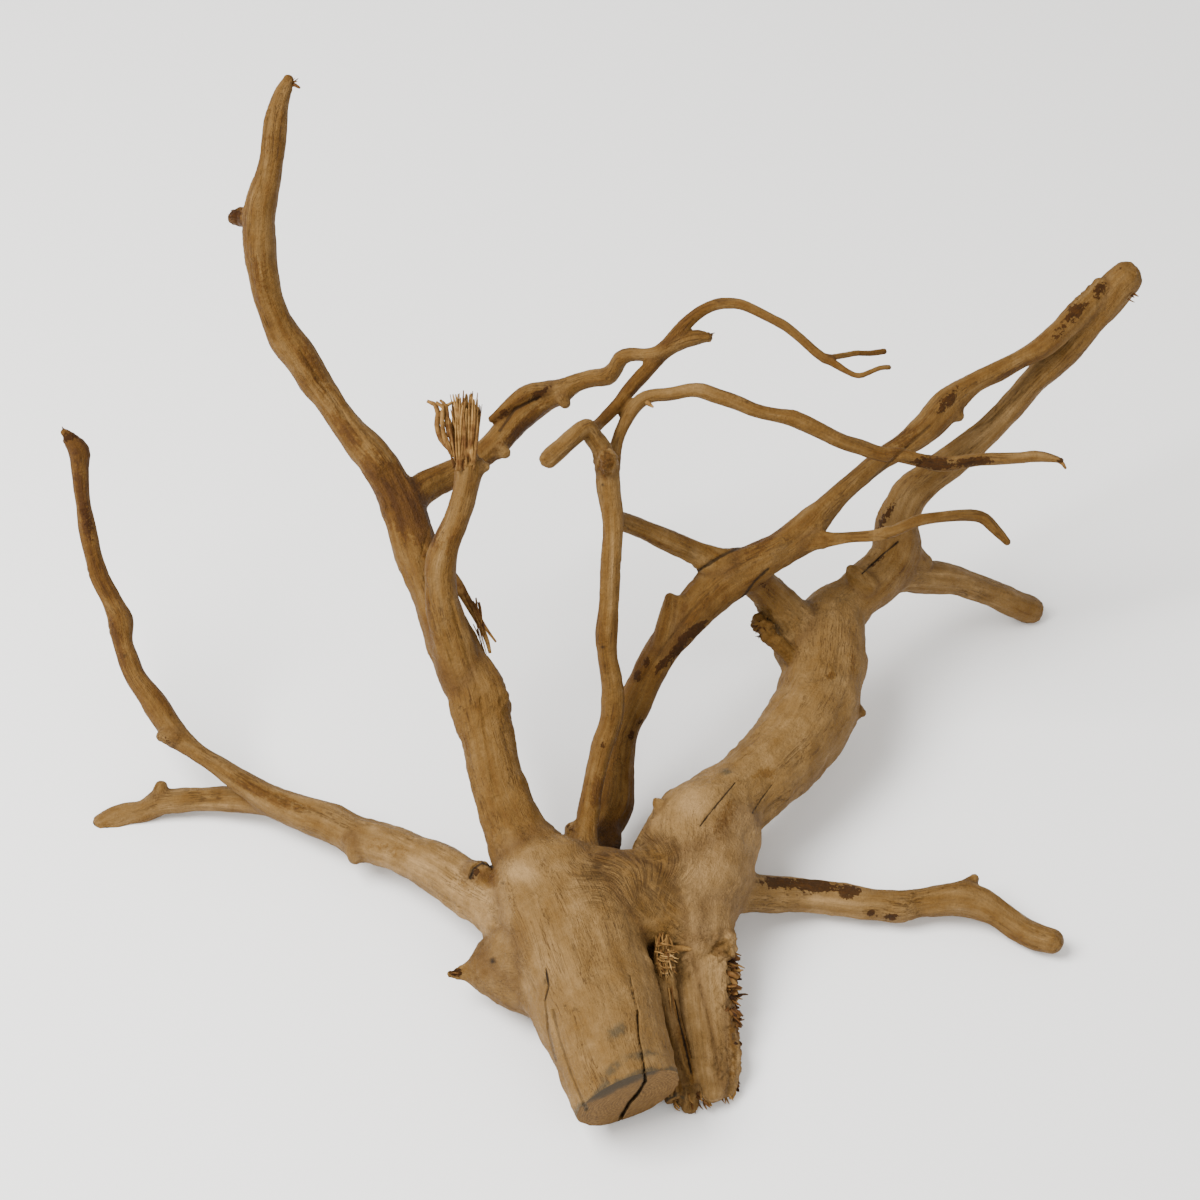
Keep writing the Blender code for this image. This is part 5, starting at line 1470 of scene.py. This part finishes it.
@dataclass(frozen=True)
class BareWood:
    """Bare weathered wood: tan where it is worn, amber under the lost bark, with flakes of dark bark left; painted
    shade and dirt darken its creases, and painted shade its checks and holes.
    """

    name: str = "bare_wood"
    ramp: tuple[tuple[float, Colour], ...] = (
        (0.0, (139, 110, 70)), (0.25, (112, 85, 47)), (0.48, (97, 69, 29)), (0.7, (82, 53, 13)),
        (1.0, (60, 34, 3)),
    )
    bark_ramp: tuple[tuple[float, Colour], ...] = ((0.25, (25, 9, 0)), (0.5, (44, 21, 0)), (0.8, (76, 43, 4)))
    # Painted shade and dirt in the creases between limbs
    crease_shade_and_dirt: Colour = (52, 28, 8)
    # Painted shade inside checks and holes
    recess_shade: Colour = (14, 7, 2)
    grey: Colour = (60, 53, 38)
    line: Colour = (56, 32, 11)
    roughness: float = 0.68

    def build(self) -> bpy.types.Material:
        """Makes the material."""
        shader = ShaderBuilder(self.name)
        sides = [self._pattern(shader, layer) for layer in ("grain_b", "grain_a")]
        share = shader.attribute("grain_share")
        streak, fibre, line = (shader.blend(share, far, near) for far, near in zip(*sides))
        place = shader.place()
        girth = shader.attribute("girth")
        streak = (streak - 0.5) * (1.05 - girth * 0.75) + 0.5
        blotch = shader.noise(place, (0.075, 0.075, 0.075), 5.0, 0.65)
        fray = shader.noise(place, (0.42, 0.42, 0.42), 4.0, 0.65)
        amber = (shader.attribute("amber") + (fray - 0.5) * 0.9 + (streak - 0.5) * 0.7).over(0.38, 0.54)
        # Pale patches: paler wood, and on the stump a painted highlight
        pale = (shader.attribute("pale") + (blotch - 0.5) * 0.8).over(0.2, 0.8)
        deepen = amber * (shader.attribute("amber") * 0.42 + 0.04)
        tone = shader.attribute("tone") + (streak - 0.5) * 0.95 + (blotch - 0.5) * 0.8 + deepen - pale * 0.3
        colour = shader.ramp(tone, [(at, linear(*value)) for at, value in self.ramp])
        grit = shader.noise(place, (0.9, 0.9, 0.9), 3.0, 0.6)
        shade = (fibre - 0.5) * 0.55 + (grit - 0.5) * 0.45 + (fray - 0.5) * 0.3 + 1.0
        colour = shader.node("ShaderNodeVectorMath", {"operation": "SCALE"}, {0: colour, 3: shade})
        fan = shader.noise(shader.attribute("fan", 1), (1.1, 1.0, 0.045), 2.0, 0.5)
        crease = (1.0 - fan.distance(0.5).over(0.0, 0.07)) * shader.attribute("fan_share")
        crease = crease * shader.noise(place, (0.16, 0.16, 0.16), 2.0, 0.5).over(0.34, 0.5)
        colour = shader.mix((line * 0.55 + crease * 0.5).clamped(), colour, linear(*self.line))
        bark = (shader.attribute("bark") + (fray - 0.5) * 1.35 + (streak - 0.5) * 0.3).over(0.55, 0.61)
        bark_colour = shader.ramp(fray * 0.6 + fibre * 0.4, [(at, linear(*value)) for at, value in self.bark_ramp])
        colour = shader.mix(bark * 0.9, colour, bark_colour)
        # Painted shade and dirt in the creases between limbs, broken up by noise
        crease_shade_and_dirt = shader.attribute("crease_shade_and_dirt")
        colour = shader.mix(crease_shade_and_dirt * (fray * 0.6 + 0.25), colour, linear(*self.crease_shade_and_dirt))
        dirt = (shader.attribute("grey") + (fray - 0.5) * 0.9).over(0.25, 0.9)
        colour = shader.mix(dirt * 0.75, colour, linear(*self.grey))
        # Painted shade, near black, inside checks and holes
        recess_shade = (shader.attribute("check") + shader.attribute("hole")).over(0.25, 0.95)
        colour = shader.mix(recess_shade * 0.9, colour, linear(*self.recess_shade))
        shader.feed("Base Color", colour)
        shader.feed("Roughness", self.roughness + (fibre - 0.5) * 0.2 + bark * 0.14 - amber * 0.08)
        shader.feed("Specular IOR Level", 0.14)
        height = fibre * 0.6 + streak * 0.4 - line * 0.5 - crease * 1.1 + bark * 0.3 + fray * 1.05 + grit * 0.5
        shader.bump(height, 0.8, 0.0015)
        return shader.material

    @staticmethod
    def _pattern(shader: ShaderBuilder, layer: str) -> tuple[Wire, Wire, Wire]:
        """Streaks, fine fibres and dark hairlines along one limb's grain."""
        place = shader.attribute(layer, 1)
        streak = shader.noise(place, (0.26, 0.26, 0.016), 3.0, 0.6)
        fibre = shader.noise(place, (1.5, 1.5, 0.06), 3.0, 0.6)
        thread = shader.noise(place, (0.62, 0.62, 0.022), 2.0, 0.55)
        patch = shader.noise(place, (0.11, 0.11, 0.03), 1.0, 0.5).over(0.47, 0.6)
        line = (1.0 - thread.distance(0.5).over(0.004, 0.02)) * patch
        return streak, fibre, line


@dataclass(frozen=True)
class SawnEnd:
    """End grain: faint rings round the pith, saw marks, grey dirt toward the rim, and painted shade in the split."""

    name: str = "sawn_end"
    ring_pitch: float = 1.7
    ramp: tuple[tuple[float, Colour], ...] = ((0.25, (60, 42, 20)), (0.5, (91, 66, 33)), (0.75, (114, 87, 50)))
    grey: Colour = (44, 39, 29)
    # Painted shade inside the split
    split: Colour = (16, 9, 3)
    top: tuple[float, float, float] = (-0.25, 0.42, 0.87)

    def build(self) -> bpy.types.Material:
        """Makes the material."""
        shader = ShaderBuilder(self.name)
        middle = tuple(-part for part in PICTURE.place(*SawCut().point))
        place = shader.place()
        away = shader.node("ShaderNodeVectorMath", {"operation": "ADD"}, {0: place, 1: middle})
        wander = shader.noise(place, (0.09, 0.09, 0.09), 3.0, 0.55)
        fine = shader.noise(place, (0.9, 0.9, 0.9), 3.0, 0.6)
        saw = shader.noise(place, (0.25, 2.4, 0.25), 2.0, 0.5)
        reach = shader.node("ShaderNodeVectorMath", {"operation": "LENGTH"}, {0: away}, 1)
        turn = (reach + wander * 7.0) * (2 * math.pi / self.ring_pitch)
        ring = turn._math("SINE", turn) * 0.5 + 0.5
        value = ring * 0.12 + fine * 0.55 + saw * 0.5 - 0.08
        colour = shader.ramp(value, [(at, linear(*stop)) for at, stop in self.ramp])
        top = tuple(PICTURE.direction(*self.top))
        height = shader.node("ShaderNodeVectorMath", {"operation": "DOT_PRODUCT"}, {0: away, 1: top}, 1)
        rim = (height + (wander - 0.5) * 14.0 + (fine - 0.5) * 9.0).over(17.0, 23.0)
        colour = shader.mix(rim * 0.85, colour, linear(*self.grey))
        # Painted shade inside the split, from the checks' mask
        split = shader.attribute("check").over(0.2, 0.8)
        colour = shader.mix(split * 0.92, colour, linear(*self.split))
        shader.feed("Base Color", colour)
        shader.feed("Roughness", 0.78 + (fine - 0.5) * 0.15)
        shader.feed("Specular IOR Level", 0.12)
        shader.bump(ring * 0.15 + fine * 0.3 + saw * 0.5, 0.5, 0.0006)
        return shader.material


@dataclass(frozen=True)
class TornWood:
    """Torn wood: straw and amber fibres, darker toward the root of each."""

    name: str = "torn_wood"
    ramp: tuple[tuple[float, Colour], ...] = (
        (0.0, (158, 125, 78)), (0.35, (122, 90, 46)), (0.65, (80, 50, 18)), (1.0, (40, 21, 6)),
    )

    def build(self) -> bpy.types.Material:
        """Makes the material."""
        shader = ShaderBuilder(self.name)
        place = shader.place()
        wave = shader.noise(place, (0.25, 0.25, 0.25), 3.0, 0.6)
        fine = shader.noise(place, (1.6, 0.7, 0.7), 3.0, 0.6)
        tone = shader.attribute("tone") + (wave - 0.5) * 0.8 + fine * 0.3
        shader.feed("Base Color", shader.ramp(tone, [(at, linear(*value)) for at, value in self.ramp]))
        shader.feed("Roughness", 0.72 + (fine - 0.5) * 0.2)
        shader.feed("Specular IOR Level", 0.14)
        shader.bump(fine * 0.6 + wave * 0.4, 0.4, 0.0006)
        return shader.material


@dataclass(frozen=True)
class PaleFloor:
    """Plain matt paper for the floor."""

    name: str = "pale_floor"
    colour: Colour = (246, 245, 243)

    def build(self) -> bpy.types.Material:
        """Makes the material."""
        shader = ShaderBuilder(self.name)
        shader.feed("Base Color", linear(*self.colour))
        shader.feed("Roughness", 0.9)
        shader.feed("Specular IOR Level", 0.1)
        return shader.material


@dataclass(frozen=True)
class Tuft:
    """Fibres that stand out of a torn place; lengths are on the picture plane, in millimetres.

    Args:
        foot: The middle of the place that they grow from.
        width: Half the size of that place.
        reach: From the foot to the tips.
        stray: How far a tip strays.
        count: How many fibres there are.
        radius: The thickest fibre's radius.
        tone: How dark the fibres are, from the palest to the darkest.
        flat: How thick a fibre is for its width.
    """

    foot: tuple[float, float, float]
    width: tuple[float, float, float]
    reach: tuple[float, float, float]
    stray: float
    count: int
    radius: float
    tone: tuple[float, float]
    flat: float = 0.6


@dataclass
class FibrePiece:
    """A piece made of many loose fibres.

    Args:
        name: The piece's name.
        material: The fibres' material.
        tufts: Bundles of fibres, drawn at random.
        rows: Fibres with a route of their own.
        seed: Seed for every random draw.
        route_tone: How dark the fibres with a route of their own are.
    """

    name: str
    material: bpy.types.Material
    tufts: tuple[Tuft, ...]
    rows: list[Row]
    seed: int
    route_tone: float = 0.3

    SIDES = 6
    TAPER = ((0.0, 1.0), (0.35, 1.0), (0.75, 0.8), (1.0, 0.35))

    def build(self) -> bpy.types.Object:
        """Makes the piece.

        Returns:
            The object.
        """
        draw = random.Random(self.seed)
        parts: list[tuple[np.ndarray, list[tuple[int, ...]]]] = []
        tones: list[float] = []
        for row in self.rows:
            self._add(parts, tones, row, 0.8, self.route_tone + draw.uniform(-0.12, 0.12))
        for tuft in self.tufts:
            for _ in range(tuft.count):
                row = self._fibre(tuft, draw)
                self._add(parts, tones, row, tuft.flat, draw.uniform(*tuft.tone))
        obj = mesh_object(self.name, parts)
        obj.data.materials.append(self.material)
        layer = obj.data.attributes.new("tone", "FLOAT", "POINT")
        layer.data.foreach_set("value", np.array(tones, dtype=np.float32))
        obj.data.shade_smooth()
        LOG.info("%s: %d fibres", self.name, len(parts))
        return obj

    def _fibre(self, tuft: Tuft, draw: random.Random) -> Row:
        """One fibre of a tuft, as stations."""
        start = [middle + half * draw.uniform(-1.0, 1.0) for middle, half in zip(tuft.foot, tuft.width)]
        length = draw.uniform(0.5, 1.0) ** 0.6
        tip = [part * length + tuft.stray * draw.gauss(0.0, 0.5) for part in tuft.reach]
        sway = [tuft.stray * draw.uniform(-0.35, 0.35) for _ in range(3)]
        radius = tuft.radius * draw.uniform(0.45, 1.0)
        row: Row = []
        for share, thin in self.TAPER:
            bend = math.sin(math.pi * share)
            point = [a + b * share + c * bend for a, b, c in zip(start, tip, sway)]
            row.append((point[0], point[1], point[2], radius * thin))
        return row

    def _add(
        self, parts: list[tuple[np.ndarray, list[tuple[int, ...]]]], tones: list[float], row: Row, flat: float, tone: float
    ) -> None:
        """Lofts one fibre and notes the tone of its vertices."""
        limb = Limb(self.name, row, PLAIN_TONE, 0)
        vertices, faces = loft(limb.line, np.maximum(limb.widths, 0.12), limb.across, limb.over * flat, self.SIDES)
        vertices[:, 2] = np.maximum(vertices[:, 2], 0.0)
        parts.append((vertices, faces))
        share = np.repeat(limb.lengths / limb.lengths[-1], self.SIDES)
        tones.extend((tone + 0.18 * (1.0 - share)).tolist())


BRUSH_TUFTS = (
    Tuft((-67.5, 332, -33.5), (4.6, 5.0, 4.2), (-0.5, 30.0, 3.0), 2.6, 100, 1.2, (0.05, 0.5), 0.8),
    Tuft((-67, 330, -30.5), (4.6, 5.0, 1.6), (0.0, 30.0, 4.0), 2.4, 64, 1.1, (0.05, 0.5), 0.8),
    Tuft((-70.5, 331, -32), (2.0, 5.0, 3.0), (-4.0, 27.0, 2.0), 2.6, 30, 1.0, (0.1, 0.5)),
    Tuft((-64, 332, -33), (2.0, 4.0, 3.0), (2.0, 27.0, 2.0), 2.0, 34, 1.1, (0.1, 0.5)),
    Tuft((-72, 331, -32), (2.0, 5.0, 2.0), (-6.0, 21.0, 2.0), 1.6, 8, 0.7, (0.2, 0.5)),
)

TORN_TUFTS = (
    Tuft((60, 86, -37), (2.0, 5.0, 2.5), (4.0, -2.0, 2.0), 3.0, 26, 2.2, (0.2, 0.8), 0.45),
    Tuft((61.5, 78, -36), (2.0, 6.0, 2.0), (6.5, -3.0, 2.0), 2.0, 22, 2.4, (0.2, 0.8), 0.4),
    Tuft((62.5, 66, -30), (2.0, 8.0, 2.0), (6.5, -3.0, 2.0), 2.2, 30, 2.4, (0.2, 0.8), 0.4),
    Tuft((64.5, 48, -22), (2.0, 10.0, 2.0), (4.5, -3.0, 1.0), 2.0, 32, 2.2, (0.2, 0.75), 0.4),
    Tuft((65, 28, -13), (2.0, 11.0, 2.0), (3.0, -4.0, 1.0), 1.6, 28, 2.0, (0.2, 0.75), 0.4),
    Tuft((61.5, 76, -34), (3.0, 9.0, 3.0), (7.5, -3.0, 2.0), 3.0, 34, 0.9, (0.1, 0.8)),
    Tuft((63, 60, -28), (3.0, 9.0, 3.0), (6.0, -2.0, 2.0), 3.0, 34, 0.9, (0.1, 0.8)),
    Tuft((65, 44, -21), (2.5, 10.0, 3.0), (4.0, -4.0, 1.0), 2.4, 34, 0.8, (0.1, 0.75)),
    Tuft((65, 26, -12), (2.5, 10.0, 3.0), (3.0, -6.0, 1.0), 2.0, 26, 0.8, (0.1, 0.75)),
    Tuft((58, 16, -6), (5.0, 2.0, 3.0), (4.0, -5.0, 2.0), 2.0, 14, 0.9, (0.1, 0.6)),
    Tuft((44, 12, -2), (9.0, 3.0, 3.0), (3.0, -5.0, 3.0), 2.4, 26, 1.0, (0.1, 0.6)),
    Tuft((31, 91, -20), (3.4, 4.0, 2.0), (0.5, -9.0, 2.5), 2.6, 46, 0.8, (-0.1, 0.4)),
    Tuft((31, 80, -17), (3.0, 6.0, 2.0), (1.5, -9.0, 2.5), 3.2, 40, 0.7, (-0.1, 0.5)),
    Tuft((31, 82, -15), (4.0, 7.0, 1.5), (5.0, -1.0, 1.0), 3.4, 26, 0.6, (-0.15, 0.3)),
    Tuft((34, 56, -11), (2.0, 14.0, 2.0), (3.0, -16.0, 3.0), 1.2, 10, 0.7, (0.0, 0.4)),
)

SPLINTER_TUFTS = (
    Tuft((-62, 254, -78), (2.5, 8.0, 2.0), (5.0, -16.0, 3.0), 2.6, 12, 0.75, (0.2, 0.7)),
    Tuft((-180, 452, -88), (1.0, 3.0, 2.0), (-4.0, 1.0, -2.0), 2.2, 14, 0.6, (0.4, 1.0)),
    Tuft((-155, 519, -40), (2.0, 1.0, 1.5), (2.0, 2.0, 1.0), 1.4, 8, 0.4, (0.3, 0.9)),
    Tuft((-267, 343, -121), (1.5, 1.5, 1.5), (-2.0, 2.0, 0.0), 1.4, 8, 0.45, (0.6, 1.0)),
    Tuft((82, 246, -131), (3.0, 4.0, 1.5), (-3.5, -2.0, 2.0), 2.0, 14, 0.7, (0.4, 1.0)),
    Tuft((-71, 74, -36), (2.0, 1.5, 1.5), (-3.0, 0.5, 1.0), 1.4, 10, 0.5, (0.4, 0.9)),
    Tuft((54, 391.8, -85), (1.0, 2.0, 1.5), (2.5, 0.5, 0.5), 1.2, 10, 0.5, (0.1, 0.6)),
    Tuft((263, 414, -148), (1.0, 2.0, 1.0), (6.0, -3.0, 2.0), 0.8, 4, 0.8, (0.3, 0.7)),
)


@dataclass
class Studio:
    """A pale floor, plain soft light, and the camera of the photograph.

    Args:
        floor_finish: The floor's finish.
    """

    floor_finish: PaleFloor = PaleFloor()
    floor_size: float = 14.0
    lens: float = 90.0
    aim_lift: float = 0.5
    lights: tuple[tuple[str, tuple[float, float, float], float, float], ...] = (
        ("key", (-1.15, -0.35, 1.9), 1.3, 106.0),
        ("fill", (0.6, -1.9, 1.1), 1.8, 20.0),
    )
    sky: tuple[float, float, float, float] = (1.0, 0.985, 0.96, 1.0)
    sky_strength: float = 0.92

    def build(self) -> bpy.types.Object:
        """Sets the studio up.

        Returns:
            The floor.
        """
        world = bpy.data.worlds.new("studio")
        world.use_nodes = True
        background = world.node_tree.nodes["Background"]
        background.inputs["Color"].default_value = self.sky
        background.inputs["Strength"].default_value = self.sky_strength
        bpy.context.scene.world = world
        for name, place, size, power in self.lights:
            self._light(name, Vector(place), size, power)
        self._camera()
        return self._floor()

    @staticmethod
    def _light(name: str, place: Vector, size: float, power: float) -> None:
        """Adds one square soft light that faces the root."""
        light = bpy.data.lights.new(name, "AREA")
        light.size = size
        light.energy = power
        obj = bpy.data.objects.new(name, light)
        obj.location = place
        obj.rotation_euler = (-place).to_track_quat("-Z", "Y").to_euler()
        bpy.context.scene.collection.objects.link(obj)

    def _camera(self) -> None:
        """Puts the camera where the photograph was taken from."""
        data = bpy.data.cameras.new("camera")
        data.lens = self.lens
        data.sensor_width = 36.0
        data.clip_end = 50.0
        camera = bpy.data.objects.new("camera", data)
        camera.location = PICTURE.place(0.0, PICTURE.middle_up + self.aim_lift, 0.0) * MM
        camera.location += PICTURE.direction(0.0, 0.0, 1.0) * PICTURE.distance * MM
        camera.rotation_euler = (PICTURE.tilt, 0.0, 0.0)
        bpy.context.scene.collection.objects.link(camera)
        bpy.context.scene.camera = camera

    def _floor(self) -> bpy.types.Object:
        """A wide sheet under the root."""
        half = self.floor_size / 2 / MM
        rim = np.array([(-half, -half, 0.0), (half, -half, 0.0), (half, half, 0.0), (-half, half, 0.0)])
        floor = mesh_object("floor", [(rim, [(0, 1, 2, 3)])])
        floor.data.materials.append(self.floor_finish.build())
        return floor


def main() -> None:
    """Builds the root and its studio."""
    wood, end_grain = BareWood().build(), SawnEnd().build()
    torn = TornWood().build()
    rows = {**LINES, **NUBS, **FILLERS, **{f"strand_{i}": row for i, row in enumerate(STRANDS)}}
    rows["frayed"] = rows["frayed"][:-BRUSH_STATIONS] + [BRUSH_ROOT]
    pieces = [
        RootSkin(Skeleton(rows), Relief(41), wood, end_grain).build(),
        FibrePiece("frayed_brush", torn, BRUSH_TUFTS, LOOSE_FIBRES[:4], 7).build(),
        FibrePiece("torn_edge", torn, TORN_TUFTS, [LOOSE_FIBRES[7], LOOSE_FIBRES[8]], 11, 0.15).build(),
        FibrePiece("splinters", torn, SPLINTER_TUFTS, LOOSE_FIBRES[4:7] + LOOSE_FIBRES[9:], 13, 0.3).build(),
    ]
    for piece in pieces:
        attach(piece, BODY)
        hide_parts(NODE)
    Studio().build()


if __name__ == "__main__":
    main()
